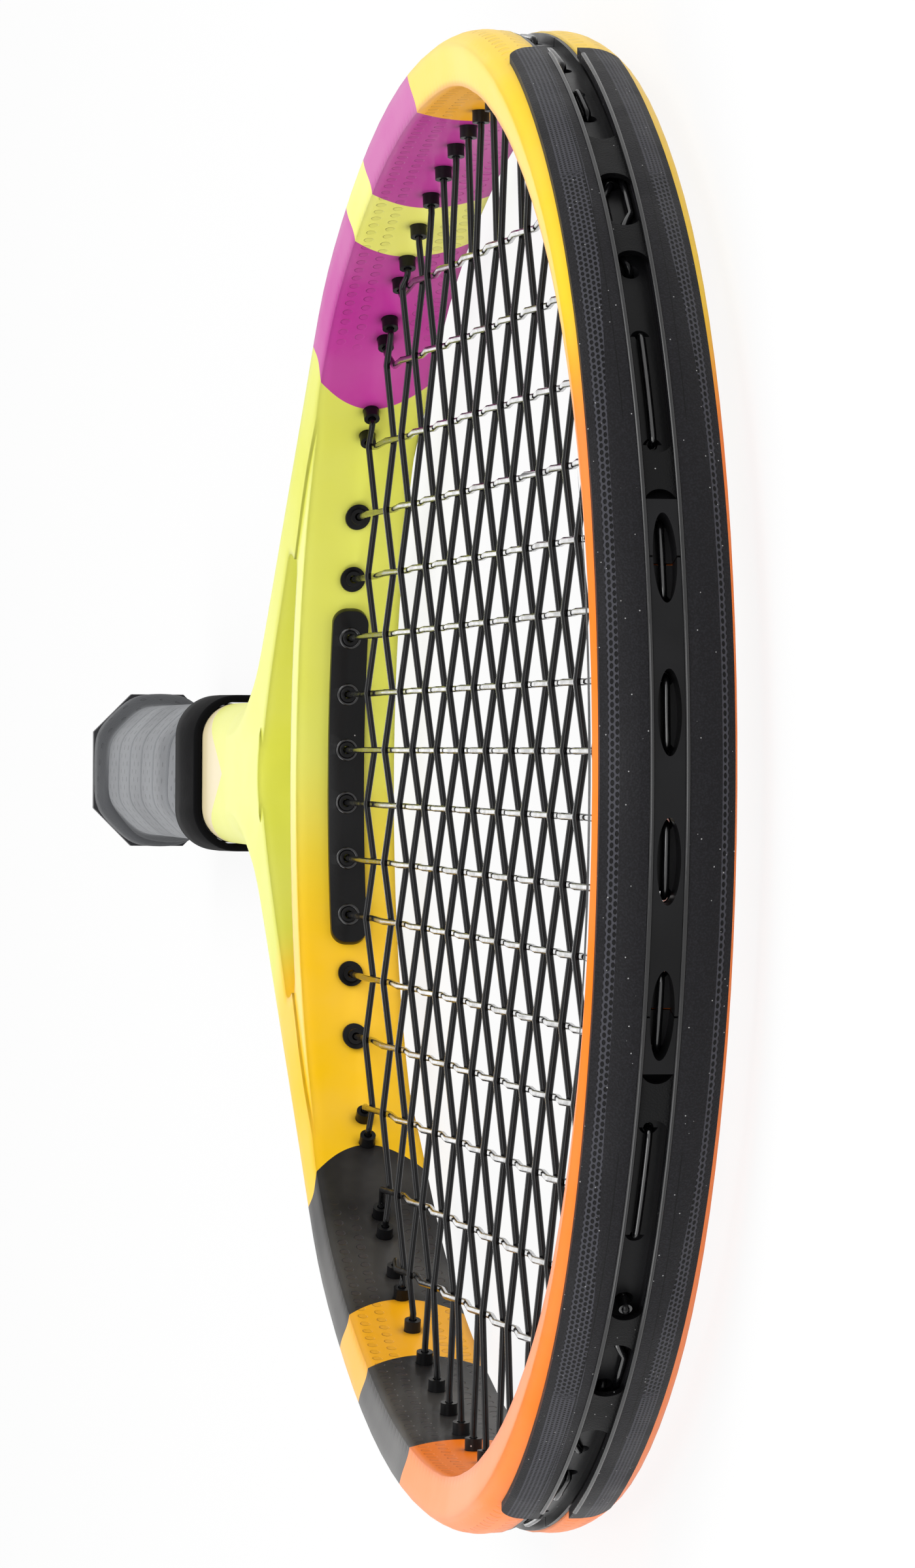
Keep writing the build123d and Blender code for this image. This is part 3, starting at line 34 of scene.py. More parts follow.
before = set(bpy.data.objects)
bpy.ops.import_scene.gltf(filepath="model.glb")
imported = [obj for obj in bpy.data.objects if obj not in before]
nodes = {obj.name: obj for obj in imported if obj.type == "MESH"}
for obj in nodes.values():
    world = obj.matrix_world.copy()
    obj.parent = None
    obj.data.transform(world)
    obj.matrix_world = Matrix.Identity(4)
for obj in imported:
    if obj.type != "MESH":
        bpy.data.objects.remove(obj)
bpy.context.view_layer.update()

# Plan of the head, as in the part: the middle of the tube, on three arcs
TIP_CENTRE_X, TIP_RADIUS, TIP_TURN = 565.5 * MM, 113.0 * MM, 53.81
SIDE_CENTRE, SIDE_RADIUS = (530.0 * MM, -48.52 * MM), 173.12 * MM
FLANK_CENTRE, FLANK_RADIUS = (530.0 * MM, -180.4 * MM), 305.0 * MM
# How far out from that middle the tube's inner face and its highest line lie
INNER_OUT, CREST_OUT = -4.6 * MM, 2.3 * MM


# ---------------------------------------------------------------- camera, room and light
# Each lamp's name, place, target, width and height, and power in watts
LAMPS = (
    ("key", (0.9, 1.4, 1.7), (0.4, 0, 0), (1.4, 1.4), 17),
    ("front", (2.3, 0.2, 1.0), (0.35, 0, 0), (1.2, 1.2), 13),
    ("fill", (1.2, -1.6, 0.9), (0.4, 0, 0), (1.6, 1.2), 13),
    ("rear", (0.1, -0.2, 2.0), (0.4, 0, 0), (1.4, 1.4), 7),
    ("beyond", (-1.9, 0, 0.42), (0.45, 0, 0), (3.0, 0.35), 4.5),
)
WORLD_LIGHT = 0.55                          # the world's strength as light, where 1 is white
FLOOR_SIZE, FLOOR_CENTRE = 12.0, (0.35, 0, -16.3 * MM)
FLOOR_WHITE = 0.86                          # how far the floor turns plain white where it is seen


def camera():
    """Beyond the tip, close to the string plane and turned on its side."""
    data = bpy.data.cameras.new("camera")
    data.lens = 147.46
    data.sensor_width = 36.0
    data.clip_end = 20.0
    eye = bpy.data.objects.new("camera", data)
    spot = (1.6313, 0.0051, 0.1847)
    right = Vector((0.15896, 0.00564, -0.98727))
    up = Vector((-0.00584, 0.99998, 0.00478))
    back = Vector((0.98726, 0.00501, 0.15898))
    turn = Matrix((right, up, back)).transposed().to_4x4()
    eye.matrix_world = Matrix.Translation(spot) @ turn
    bpy.context.scene.collection.objects.link(eye)
    bpy.context.scene.camera = eye


def softbox(name, spot, target, size, power):
    """A rectangular lamp that looks at a point."""
    data = bpy.data.lights.new(name, "AREA")
    data.shape = "RECTANGLE"
    data.size, data.size_y = size
    data.energy = power
    lamp = bpy.data.objects.new(name, data)
    lamp.location = spot
    lamp.rotation_euler = (Vector(target) - Vector(spot)).to_track_quat("-Z", "Y").to_euler()
    bpy.context.scene.collection.objects.link(lamp)


def seen(tree):
    """1 for rays from the camera, off gloss and through glass, else 0."""
    path = tree.nodes.new("ShaderNodeLightPath")
    first = maths(tree, "MAXIMUM", path.outputs["Is Camera Ray"], path.outputs["Is Glossy Ray"])
    return maths(tree, "MAXIMUM", first, path.outputs["Is Transmission Ray"])


def mixed(tree, share, first, second, output):
    """Leads a mix of two shaders to a new output node."""
    both = put(tree, "ShaderNodeMixShader", Fac=share)
    tree.links.new(first.outputs[0], both.inputs[1])
    tree.links.new(second.outputs[0], both.inputs[2])
    tree.links.new(both.outputs[0], tree.nodes.new(output).inputs["Surface"])


def backdrop():
    """A world that looks white and lights the racket softly."""
    world = bpy.data.worlds.new("room")
    bpy.context.scene.world = world
    world.use_nodes = True
    tree = world.node_tree
    tree.nodes.clear()
    dim = put(tree, "ShaderNodeBackground", Color=(1, 1, 1, 1), Strength=WORLD_LIGHT)
    white = put(tree, "ShaderNodeBackground", Color=(1, 1, 1, 1), Strength=1.0)
    mixed(tree, seen(tree), dim, white, "ShaderNodeOutputWorld")


def pale_floor():
    """A pale floor that keeps the racket's shadow."""
    bpy.ops.object.select_all(action="DESELECT")
    bpy.ops.mesh.primitive_plane_add(size=FLOOR_SIZE, location=FLOOR_CENTRE)
    floor = bpy.context.object
    floor.name = "floor"
    paint = bpy.data.materials.new("pale_floor")
    paint.use_nodes = True
    tree = paint.node_tree
    tree.nodes.clear()
    matt = put(tree, "ShaderNodeBsdfDiffuse", Color=(0.9, 0.9, 0.9, 1))
    glow = put(tree, "ShaderNodeEmission", Color=(1, 1, 1, 1), Strength=1.0)
    mixed(tree, times(tree, seen(tree), FLOOR_WHITE), matt, glow, "ShaderNodeOutputMaterial")
    floor.data.materials.append(paint)


# ---------------------------------------------------------------- node helpers
def put(tree, kind, *settings, **values):
    """A node with settings (name, value) pairs, and values or links for its inputs by name."""
    node = tree.nodes.new(kind)
    for name, value in settings:
        setattr(node, name, value)
    for name, value in values.items():
        lead(tree, value, node.inputs[name.replace("_", " ")])
    return node


def lead(tree, value, socket):
    """Sets an input to a value, or links it where the value is a socket."""
    if isinstance(value, bpy.types.NodeSocket):
        tree.links.new(value, socket)
    else:
        socket.default_value = value


def maths(tree, operation, *values):
    """The outcome of one sum on numbers or sockets."""
    node = tree.nodes.new("ShaderNodeMath")
    node.operation = operation
    for index, value in enumerate(values):
        lead(tree, value, node.inputs[index])
    return node.outputs[0]


def plus(tree, first, second):
    """The sum of two."""
    return maths(tree, "ADD", first, second)


def minus(tree, first, second):
    """The first less the second."""
    return maths(tree, "SUBTRACT", first, second)


def times(tree, first, second):
    """The product of two, which keeps what is in both masks."""
    return maths(tree, "MULTIPLY", first, second)


def over(tree, first, second):
    """The first divided by the second."""
    return maths(tree, "DIVIDE", first, second)


def size_of(tree, value):
    """A value without its sign."""
    return maths(tree, "ABSOLUTE", value)


def blend(tree, share, first, second):
    """A colour between two, by share."""
    node = tree.nodes.new("ShaderNodeMix")
    node.data_type = "RGBA"
    # The node's factor and its two colours, among inputs for other kinds of data
    for index, value in ((0, share), (6, first), (7, second)):
        lead(tree, value, node.inputs[index])
    return node.outputs[2]


def ramp(tree, share, low, high, first=0.0, last=1.0):
    """A smooth rise from first to last as share goes from low to high."""
    node = put(tree, "ShaderNodeMapRange", ("interpolation_type", "SMOOTHSTEP"), Value=share)
    for name, value in (("From Min", low), ("From Max", high), ("To Min", first), ("To Max", last)):
        node.inputs[name].default_value = value
    return node.outputs[0]


def spread(tree, noise, first=0.0, last=1.0):
    """A noise's usual range stretched to run from first to last."""
    return ramp(tree, noise, 0.3, 0.7, first, last)


def tint(red, green, blue):
    """A colour written as seen on screen, 0 to 255, as Blender's linear colour."""
    parts = [c / 255 for c in (red, green, blue)]
    return tuple(c / 12.92 if c <= 0.04045 else ((c + 0.055) / 1.055) ** 2.4 for c in parts) + (1.0,)


def finish(name, roughness, coat=0.0, coat_roughness=0.1, specular=0.5, metallic=0.0):
    """A new material: itself, its node tree and its shader, with what is the same all over set."""
    paint = bpy.data.materials.new(name)
    paint.use_nodes = True
    shader = paint.node_tree.nodes["Principled BSDF"]
    shader.inputs["Roughness"].default_value = roughness
    shader.inputs["Metallic"].default_value = metallic
    shader.inputs["Coat Weight"].default_value = coat
    shader.inputs["Coat Roughness"].default_value = coat_roughness
    shader.inputs["Specular IOR Level"].default_value = specular
    return paint, paint.node_tree, shader


def bump(tree, shader, height, distance, round_edges=0.0):
    """Feeds a height through a Bump node to the shader, over edges rounded to a radius if one is given."""
    node = put(tree, "ShaderNodeBump", Height=height, Distance=distance)
    if round_edges:
        rounded = put(tree, "ShaderNodeBevel", ("samples", 6), Radius=round_edges)
        tree.links.new(rounded.outputs[0], node.inputs["Normal"])
    tree.links.new(node.outputs[0], shader.inputs["Normal"])


def point_on(tree):
    """The point on the object."""
    return tree.nodes.new("ShaderNodeTexCoord").outputs["Object"]


def xyz(tree, point):
    """The X, Y and Z of a point."""
    return tuple(put(tree, "ShaderNodeSeparateXYZ", Vector=point).outputs)


# ---------------------------------------------------------------- node groups that materials share
def group(name, inputs, outputs):
    """An empty node group with number inputs (name, default), and outputs by name."""
    made = bpy.data.node_groups.new(name, "ShaderNodeTree")
    made.interface.new_socket("Vector", in_out="INPUT", socket_type="NodeSocketVector")
    for label, value in inputs:
        socket = made.interface.new_socket(label, in_out="INPUT", socket_type="NodeSocketFloat")
        socket.default_value = value
    for label in outputs:
        made.interface.new_socket(label, in_out="OUTPUT", socket_type="NodeSocketFloat")
    return made, made.nodes.new("NodeGroupInput"), made.nodes.new("NodeGroupOutput")


def use(tree, made, point, **values):
    """A node group placed in a material, with its own values for the group's inputs."""
    node = tree.nodes.new("ShaderNodeGroup")
    node.node_tree = made
    tree.links.new(point, node.inputs["Vector"])
    for name, value in values.items():
        node.inputs[name.replace("_", " ")].default_value = value
    return node


def grain_group():
    """Moulded grain, blotches of tone, and scattered specks, from a point."""
    speck_radius = 0.16                     # in cells
    inputs = [("Grain scale", 2500.0), ("Blotch scale", 60.0), ("Speck scale", 700.0), ("Specks", 0.1)]
    made, given, result = group("moulded_grain", inputs, ["Height", "Tone", "Specks"])
    point = given.outputs["Vector"]
    grain = put(made, "ShaderNodeTexNoise", Vector=point, Scale=given.outputs["Grain scale"], Detail=3.0)
    blotch = put(made, "ShaderNodeTexNoise", Vector=point, Scale=given.outputs["Blotch scale"], Detail=4.0)
    cells = put(made, "ShaderNodeTexVoronoi", Vector=point, Scale=given.outputs["Speck scale"])
    near = maths(made, "LESS_THAN", cells.outputs["Distance"], speck_radius)
    chosen = put(made, "ShaderNodeSeparateColor", Color=cells.outputs["Color"])
    few = maths(made, "LESS_THAN", chosen.outputs[0], given.outputs["Specks"])
    made.links.new(grain.outputs[0], result.inputs["Height"])
    made.links.new(blotch.outputs[0], result.inputs["Tone"])
    made.links.new(times(made, near, few), result.inputs["Specks"])
    return made


def dots_group():
    """Staggered rows of round dots: X of the point runs along the rows, Y across them."""
    made, given, result = group("dot_rows", [("Pitch", 0.002), ("Size", 0.5)], ["Dots"])
    x, y = xyz(made, given.outputs["Vector"])[:2]
    across = over(made, y, given.outputs["Pitch"])
    row = maths(made, "FLOOR", across)
    along = over(made, x, given.outputs["Pitch"])
    shifted = plus(made, along, times(made, row, 0.5))
    du = minus(made, maths(made, "FRACT", shifted), 0.5)
    dv = minus(made, maths(made, "FRACT", across), 0.5)
    reach = maths(made, "SQRT", plus(made, times(made, du, du), times(made, dv, dv)))
    share = over(made, reach, given.outputs["Size"])
    made.links.new(ramp(made, share, 0.75, 1.0, 1.0, 0.0), result.inputs["Dots"])
    return made


def head_line_group():
    """How far round the head a point lies, and how far out from the middle of the tube, on three arcs."""
    made, given, result = group("head_line", [], ["Along", "Out"])
    x, y = xyz(made, given.outputs["Vector"])[:2]
    side = size_of(made, y)
    tip_length = math.radians(TIP_TURN) * TIP_RADIUS
    side_length = math.radians(90 - TIP_TURN) * SIDE_RADIUS
    arcs = (
        ((TIP_CENTRE_X, 0.0), TIP_RADIUS, 0.0, 0.0),
        (SIDE_CENTRE, SIDE_RADIUS, math.radians(TIP_TURN), tip_length),
        (FLANK_CENTRE, FLANK_RADIUS, math.radians(90), tip_length + side_length),
    )
    along = out = None
    for (centre_x, centre_y), radius, start, before in arcs:
        run = minus(made, x, centre_x)
        rise = minus(made, side, centre_y)
        square = plus(made, times(made, run, run), times(made, rise, rise))
        turn = maths(made, "ARCTAN2", rise, run)
        here = plus(made, times(made, minus(made, turn, start), radius), before)
        far = minus(made, maths(made, "SQRT", square), radius)
        if along is None:
            along, out = here, far
            continue
        past = maths(made, "GREATER_THAN", turn, start)
        along = plus(made, along, times(made, past, minus(made, here, along)))
        out = plus(made, out, times(made, past, minus(made, far, out)))
    made.links.new(along, result.inputs["Along"])
    made.links.new(out, result.inputs["Out"])
    return made


GRAIN = grain_group()
DOTS = dots_group()
HEAD_LINE = head_line_group()


# ---------------------------------------------------------------- paint of the frame
LIME = tint(222, 224, 88)
PALE_LIME = tint(240, 238, 112)
MAGENTA = tint(188, 44, 150)
AMBER = tint(252, 178, 0)
GOLD = tint(250, 206, 0)
ORANGE = tint(255, 128, 6)
SUNSET = tint(254, 200, 0)
INK = tint(16, 14, 16)
PEARL = tint(226, 210, 166)
# Where each band starts along X, in millimetres, on the two sides of the frame
LEFT_BANDS = ((0, LIME), (373, MAGENTA), (419, PALE_LIME), (441, MAGENTA), (497, AMBER))
RIGHT_BANDS = ((0, SUNSET), (372, INK), (419, AMBER), (443, INK), (497, ORANGE))
THROAT_END, RIM_START = 372.0 * MM, 497.0 * MM      # the bands lie between these
BAND_RANGE = 0.7                            # the X at which the ramp of bands ends
BAND_BOW = 0.0075 / 0.012 ** 2              # metres along X for each square metre of height
BAND_FALL = 4.5 * MM                        # how far the bands fall back between the inner face and the crest
# X between which the arms give way to the bridge, and Y between which each turns from lime to sunset
BRIDGE_X, BRIDGE_FADE, ARM_FADE = (318 * MM, 336 * MM), (12 * MM, -40 * MM), (-42 * MM, -82 * MM)
# Near the tip: Y between which gold and amber turn to orange, and how far out the inner face's colour ends
GOLD_FADE, AMBER_FADE, INNER_END = (78 * MM, 52 * MM), (40 * MM, 0.0), (-4.8 * MM, -3.6 * MM)
VEE_POINT, VEE_SLOPE = 226 * MM, 2.1        # the pearl vee's end on the shaft, and its X for each Y
FRAME_DIMPLE_PITCH = 3.4 * MM
DIMPLE_HEIGHTS = ((3.0 * MM, 4.0 * MM), (11.5 * MM, 10.0 * MM))     # they fade in and out between these
DIMPLE_ENDS = ((385 * MM, 400 * MM), (600 * MM, 570 * MM))          # and along X between these
FRAME_EDGE_RADIUS = 3.5 * MM


def bands(tree, x, stops):
    """Sharp bands of colour along X, from (start in millimetres, colour) pairs."""
    node = put(tree, "ShaderNodeValToRGB", Fac=over(tree, x, BAND_RANGE))
    stretch = node.color_ramp
    stretch.interpolation = "CONSTANT"
    for index, (start, colour) in enumerate(stops):
        position = start * MM / BAND_RANGE
        # A new ramp has two stops to begin with
        stop = stretch.elements[index] if index < 2 else stretch.elements.new(position)
        stop.position = position
        stop.color = colour
    return node.outputs[0]


def bowed_x(tree, x, z, out):
    """X for the bands, which bow towards the throat at middle height and fall back over the tube's top."""
    bow = times(tree, times(tree, z, z), BAND_BOW)
    bow = minus(tree, bow, ramp(tree, out, INNER_OUT, CREST_OUT, 0.0, BAND_FALL))
    return minus(tree, x, bow)


def right_share(tree, x, y, band_x):
    """0 where the left side's bands show and 1 where the right side's do."""
    # The bridge turns from lime to sunset at its middle, the arms nearer to the head
    bridge = ramp(tree, x, *BRIDGE_X)
    bridge_fade = times(tree, bridge, ramp(tree, y, *BRIDGE_FADE))
    arm_fade = times(tree, minus(tree, 1.0, bridge), ramp(tree, y, *ARM_FADE))
    fade = plus(tree, bridge_fade, arm_fade)
    throat = maths(tree, "LESS_THAN", band_x, THROAT_END)
    side = blend(tree, throat, maths(tree, "LESS_THAN", y, 0.0), fade)
    return put(tree, "ShaderNodeSeparateColor", Color=side).outputs[0]


def frame_colour(tree, x, y, z, out):
    """The bands, the rim's own colours near the tip, and a pearl vee on the shaft."""
    band_x = bowed_x(tree, x, z, out)
    left = bands(tree, band_x, LEFT_BANDS)
    right = bands(tree, band_x, RIGHT_BANDS)
    colour = blend(tree, right_share(tree, x, y, band_x), left, right)
    # The rim outside the strings goes from gold to orange, the inner face from amber to orange
    near_tip = maths(tree, "GREATER_THAN", band_x, RIM_START)
    outer = blend(tree, ramp(tree, y, *GOLD_FADE), GOLD, ORANGE)
    inner = blend(tree, ramp(tree, y, *AMBER_FADE), AMBER, ORANGE)
    rim = blend(tree, ramp(tree, out, *INNER_END), inner, outer)
    colour = blend(tree, near_tip, colour, rim)
    vee = minus(tree, VEE_POINT, times(tree, size_of(tree, y), VEE_SLOPE))
    return blend(tree, maths(tree, "LESS_THAN", x, vee), colour, PEARL)


def frame_dimples(tree, x, z, along):
    """Faint dimples in staggered rows, on the flanks and the inner face."""
    rows = put(tree, "ShaderNodeCombineXYZ", X=along, Y=z)
    dots = use(tree, DOTS, rows.outputs[0], Pitch=FRAME_DIMPLE_PITCH, Size=0.30).outputs[0]
    height = size_of(tree, z)
    for value, spans in ((x, DIMPLE_ENDS), (height, DIMPLE_HEIGHTS)):
        for span in spans:
            dots = times(tree, dots, ramp(tree, value, *span))
    return dots


def frame_paint():
    """Clear-coated paint in broad bands, with faint rows of dimples along the head, painted a little darker
    as shade in their hollows.
    """
    paint, tree, shader = finish("frame_paint", 0.38, coat=0.05, coat_roughness=0.1, specular=0.12)
    point = point_on(tree)
    x, y, z = xyz(tree, point)
    line = use(tree, HEAD_LINE, point)
    colour = frame_colour(tree, x, y, z, line.outputs["Out"])
    dots = frame_dimples(tree, x, z, line.outputs["Along"])
    grain = use(tree, GRAIN, point, Grain_scale=900.0, Blotch_scale=35.0)
    tone = spread(tree, grain.outputs["Tone"], 0.0, 0.05)
    colour = blend(tree, tone, colour, tint(255, 250, 240))
    # Painted shade: the dimples are darkened a little, as shade in their hollows.
    colour = blend(tree, times(tree, dots, 0.10), colour, tint(70, 50, 60))
    tree.links.new(colour, shader.inputs["Base Color"])
    relief = plus(tree, times(tree, dots, -1.0), times(tree, grain.outputs["Height"], 0.06))
    bump(tree, shader, relief, 0.2 * MM, round_edges=FRAME_EDGE_RADIUS)
    return paint


# ---------------------------------------------------------------- nylon of the guard, grommets and cap
GUARD_TIP, GUARD_END = (685.0 * MM, 10.45 * MM), (588.0 * MM, 9.1 * MM)    # X and height of the guard's edge
GUARD_MARGIN = 1.2 * MM                     # bare strip along the guard's edge, outside the dimples
SLOT_HEIGHT = 2.6 * MM                      # from the string plane to the slot's edge
LINE_HEIGHT, LINE_HALF, LINE_START = 4.9 * MM, 0.07 * MM, 55.0 * MM         # of the fine moulded line
FIELD_RUN, FIELD_WIDTH = (45 * MM, 105 * MM), (2.8 * MM, 5.2 * MM)      # the dimples spread along the head
FINE_RUN = (104 * MM, 108 * MM)             # round the head, where round dimples turn to fine dashes
ROUND_GRID, FINE_GRID = (1.12 * MM, 0.72 * MM), (0.62 * MM, 0.66 * MM)     # pitch along and across the rows


def black_nylon(name, roughness, grain_scale, depth, specks, colour):
    """Moulded black nylon, with grain, a little dust and uneven sheen."""
    paint, tree, shader = finish(name, roughness, specular=0.16)
    point = point_on(tree)
    scales = {"Grain_scale": grain_scale, "Blotch_scale": 45.0, "Speck_scale": 900.0}
    grain = use(tree, GRAIN, point, Specks=specks, **scales)
    worn = ramp(tree, grain.outputs["Tone"], 0.35, 0.75, 0.0, 0.10)
    base = blend(tree, worn, colour, tint(60, 60, 64))
    base = blend(tree, times(tree, grain.outputs["Specks"], 0.55), base, tint(205, 205, 205))
    tree.links.new(base, shader.inputs["Base Color"])
    sheen = spread(tree, grain.outputs["Tone"], roughness - 0.06, roughness + 0.08)
    tree.links.new(sheen, shader.inputs["Roughness"])
    bump(tree, shader, grain.outputs["Height"], depth)
    return paint


def below_guard_edge(tree, x, height):
    """How far a point lies below the guard's edge, which rises towards the tip."""
    share = over(tree, minus(tree, x, GUARD_END[0]), GUARD_TIP[0] - GUARD_END[0])
    edge = plus(tree, times(tree, share, GUARD_TIP[1] - GUARD_END[1]), GUARD_END[1])
    return minus(tree, edge, height)


def dimple_field(tree, along, depth, z):
    """1 on the strip that has dimples, which narrows towards the tip and is wider above the slot."""
    width = ramp(tree, along, *FIELD_RUN, *FIELD_WIDTH)
    width = times(tree, width, ramp(tree, z, -1 * MM, 1 * MM, 0.80, 1.0))
    inside_edge = maths(tree, "GREATER_THAN", depth, GUARD_MARGIN)
    return times(tree, inside_edge, maths(tree, "LESS_THAN", depth, width))


def guard_dots(tree, along, depth, grid, size):
    """Rows of dots along the guard, on a grid of its own."""
    rows = put(tree, "ShaderNodeCombineXYZ", X=over(tree, along, grid[0]), Y=over(tree, depth, grid[1]))
    return use(tree, DOTS, rows.outputs[0], Pitch=1.0, Size=size).outputs[0]


def guard_nylon():
    """Black nylon with staggered dimples along both edges, a fine moulded line and a slot; painted highlight
    lightens the dimpled strip, and painted shade darkens the dimples, the line and the slot.
    """
    paint, tree, shader = finish("bumper_plastic", 0.42, specular=0.16)
    point = point_on(tree)
    x, _, z = xyz(tree, point)
    height = size_of(tree, z)
    along = use(tree, HEAD_LINE, point).outputs["Along"]
    depth = below_guard_edge(tree, x, height)
    field = dimple_field(tree, along, depth, z)
    fine = ramp(tree, along, *FINE_RUN)
    round_dots = times(tree, guard_dots(tree, along, depth, ROUND_GRID, 0.40), minus(tree, 1.0, fine))
    fine_dots = times(tree, guard_dots(tree, along, depth, FINE_GRID, 0.34), fine)
    dots = times(tree, plus(tree, round_dots, fine_dots), field)
    line = maths(tree, "LESS_THAN", size_of(tree, minus(tree, height, LINE_HEIGHT)), LINE_HALF)
    line = times(tree, line, maths(tree, "GREATER_THAN", along, LINE_START))
    slot = maths(tree, "LESS_THAN", height, SLOT_HEIGHT)
    grain = use(tree, GRAIN, point, Grain_scale=3200.0, Blotch_scale=60.0, Speck_scale=1500.0, Specks=0.05)
    mottle = ramp(tree, grain.outputs["Height"], 0.42, 0.66, 0.0, 0.22)
    base = blend(tree, mottle, tint(17, 16, 19), tint(50, 50, 56))
    # Painted highlight: the dimpled strip is lightened, as sheen on the dimples' rims.
    base = blend(tree, times(tree, field, 0.6), base, tint(76, 76, 83))
    # Painted shade: the dimples are darkened, as shade in their hollows.
    base = blend(tree, dots, base, tint(3, 3, 4))
    # Painted shade: the fine moulded line is darkened, as shade in its groove.
    base = blend(tree, line, base, tint(5, 5, 6))
    # Painted shade: the slot is darkened, as shade in its channel.
    base = blend(tree, slot, base, tint(4, 4, 5))
    base = blend(tree, times(tree, grain.outputs["Specks"], 0.6), base, tint(200, 200, 200))
    tree.links.new(base, shader.inputs["Base Color"])
    tree.links.new(spread(tree, grain.outputs["Tone"], 0.42, 0.58), shader.inputs["Roughness"])
    relief = minus(tree, times(tree, grain.outputs["Height"], 0.22), dots)
    relief = minus(tree, relief, times(tree, line, 0.6))
    bump(tree, shader, relief, 0.4 * MM)
    return paint


def lip_nylon():
    """Smooth glossy nylon, for the lips at the slot and the rings on the throat pad."""
    paint, tree, shader = finish("lip_plastic", 0.14, specular=0.6)
    noise = put(tree, "ShaderNodeTexNoise", Vector=point_on(tree), Scale=260.0, Detail=2.0).outputs[0]
    tree.links.new(blend(tree, noise, tint(8, 8, 9), tint(18, 18, 20)), shader.inputs["Base Color"])
    tree.links.new(spread(tree, noise, 0.12, 0.26), shader.inputs["Roughness"])
    bump(tree, shader, noise, 0.08 * MM)
    return paint


# ---------------------------------------------------------------- strings, grip and the rest
WRAP_PITCH = 25.0 * MM                      # width of the grip's strip, from seam to seam
HOLE_PITCH, HOLES_REACH = 4.2 * MM, 8.6 * MM        # of the perforations, to each side of the strip's middle
# Painted shade on the grip, towards each seam's groove and on the flare at the butt
SEAM_PAINTED_SHADE = (11.2 * MM, WRAP_PITCH / 2)            # from the strip's middle, where it darkens towards a seam
BUTT_PAINTED_SHADE = (20.5 * MM, 16.0 * MM)                 # X between which the grip darkens towards the butt


def string_gut(name, gloss):
    """Black monofilament with an uneven gloss."""
    paint, tree, shader = finish(name, 0.16, specular=gloss)
    noise = put(tree, "ShaderNodeTexNoise", Vector=point_on(tree), Scale=420.0, Detail=2.0).outputs[0]
    base = blend(tree, spread(tree, noise), tint(6, 6, 7), tint(14, 14, 16))
    tree.links.new(base, shader.inputs["Base Color"])
    tree.links.new(spread(tree, noise, 0.10, 0.20), shader.inputs["Roughness"])
    bump(tree, shader, noise, 0.02 * MM)
    return paint


def grip_leather():
    """Grey synthetic leather, wound in a spiral: pores and perforations, with painted shade in the seams'
    grooves and on the flare at the butt.
    """
    paint, tree, shader = finish("grip", 0.62, specular=0.2)
    point = point_on(tree)
    x = xyz(tree, point)[0]
    lay = tree.nodes.new("ShaderNodeUVMap")
    lay.uv_map = "wrap"
    across = xyz(tree, lay.outputs[0])[1]
    off_middle = size_of(tree, minus(tree, across, WRAP_PITCH / 2))
    holes = use(tree, DOTS, lay.outputs[0], Pitch=HOLE_PITCH, Size=0.16).outputs[0]
    holes = times(tree, holes, maths(tree, "LESS_THAN", off_middle, HOLES_REACH))
    seam = ramp(tree, off_middle, *SEAM_PAINTED_SHADE)
    butt = ramp(tree, x, *BUTT_PAINTED_SHADE)
    grain = use(tree, GRAIN, point, Grain_scale=1500.0, Blotch_scale=28.0)
    tone = spread(tree, grain.outputs["Tone"])
    base = blend(tree, tone, tint(106, 108, 111), tint(132, 134, 137))
    # Painted shade in the groove at each seam.
    base = blend(tree, times(tree, seam, 0.6), base, tint(64, 65, 68))
    base = blend(tree, times(tree, holes, 0.4), base, tint(60, 60, 62))
    # Painted shade on the flare's slope at the butt.
    base = blend(tree, times(tree, butt, 0.8), base, tint(46, 47, 50))
    tree.links.new(base, shader.inputs["Base Color"])
    relief = minus(tree, times(tree, grain.outputs["Height"], 0.5), holes)
    bump(tree, shader, relief, 0.25 * MM)
    return paint


def collar_rubber():
    """Matt black rubber with a fine grain."""
    paint, tree, shader = finish("collar_rubber", 0.62, specular=0.03)
    grain = use(tree, GRAIN, point_on(tree), Grain_scale=1100.0, Blotch_scale=50.0)
    tone = grain.outputs["Tone"]
    base = blend(tree, spread(tree, tone), tint(6, 6, 7), tint(13, 13, 14))
    tree.links.new(base, shader.inputs["Base Color"])
    tree.links.new(spread(tree, tone, 0.56, 0.72), shader.inputs["Roughness"])
    bump(tree, shader, grain.outputs["Height"], 0.04 * MM)
    return paint


def tape_vinyl():
    """Black vinyl tape with fine lines round it."""
    paint, tree, shader = finish("tape", 0.42)
    settings = {"Vector": point_on(tree), "Scale": 700.0, "Distortion": 0.6}
    lines = put(tree, "ShaderNodeTexWave", ("bands_direction", "X"), **settings).outputs["Fac"]
    tree.links.new(blend(tree, lines, tint(24, 24, 26), tint(40, 40, 43)), shader.inputs["Base Color"])
    bump(tree, shader, lines, 0.03 * MM)
    return paint


def pallet_foam():
    """Dark moulded foam with open pores."""
    paint, tree, shader = finish("pallet_foam", 0.8)
    point = point_on(tree)
    grain = use(tree, GRAIN, point, Grain_scale=1800.0, Blotch_scale=80.0, Speck_scale=1400.0, Specks=0.35)
    base = blend(tree, grain.outputs["Specks"], tint(96, 94, 90), tint(48, 47, 45))
    tree.links.new(base, shader.inputs["Base Color"])
    bump(tree, shader, grain.outputs["Height"], 0.15 * MM)
    return paint


def staple_wire():
    """Bright drawn wire with a fine grain."""
    paint, tree, shader = finish("steel", 0.28, metallic=1.0)
    noise = put(tree, "ShaderNodeTexNoise", Vector=point_on(tree), Scale=3000.0, Detail=2.0).outputs[0]
    tree.links.new(blend(tree, noise, tint(160, 160, 164), tint(205, 205, 208)), shader.inputs["Base Color"])
    bump(tree, shader, noise, 0.01 * MM)
    return paint


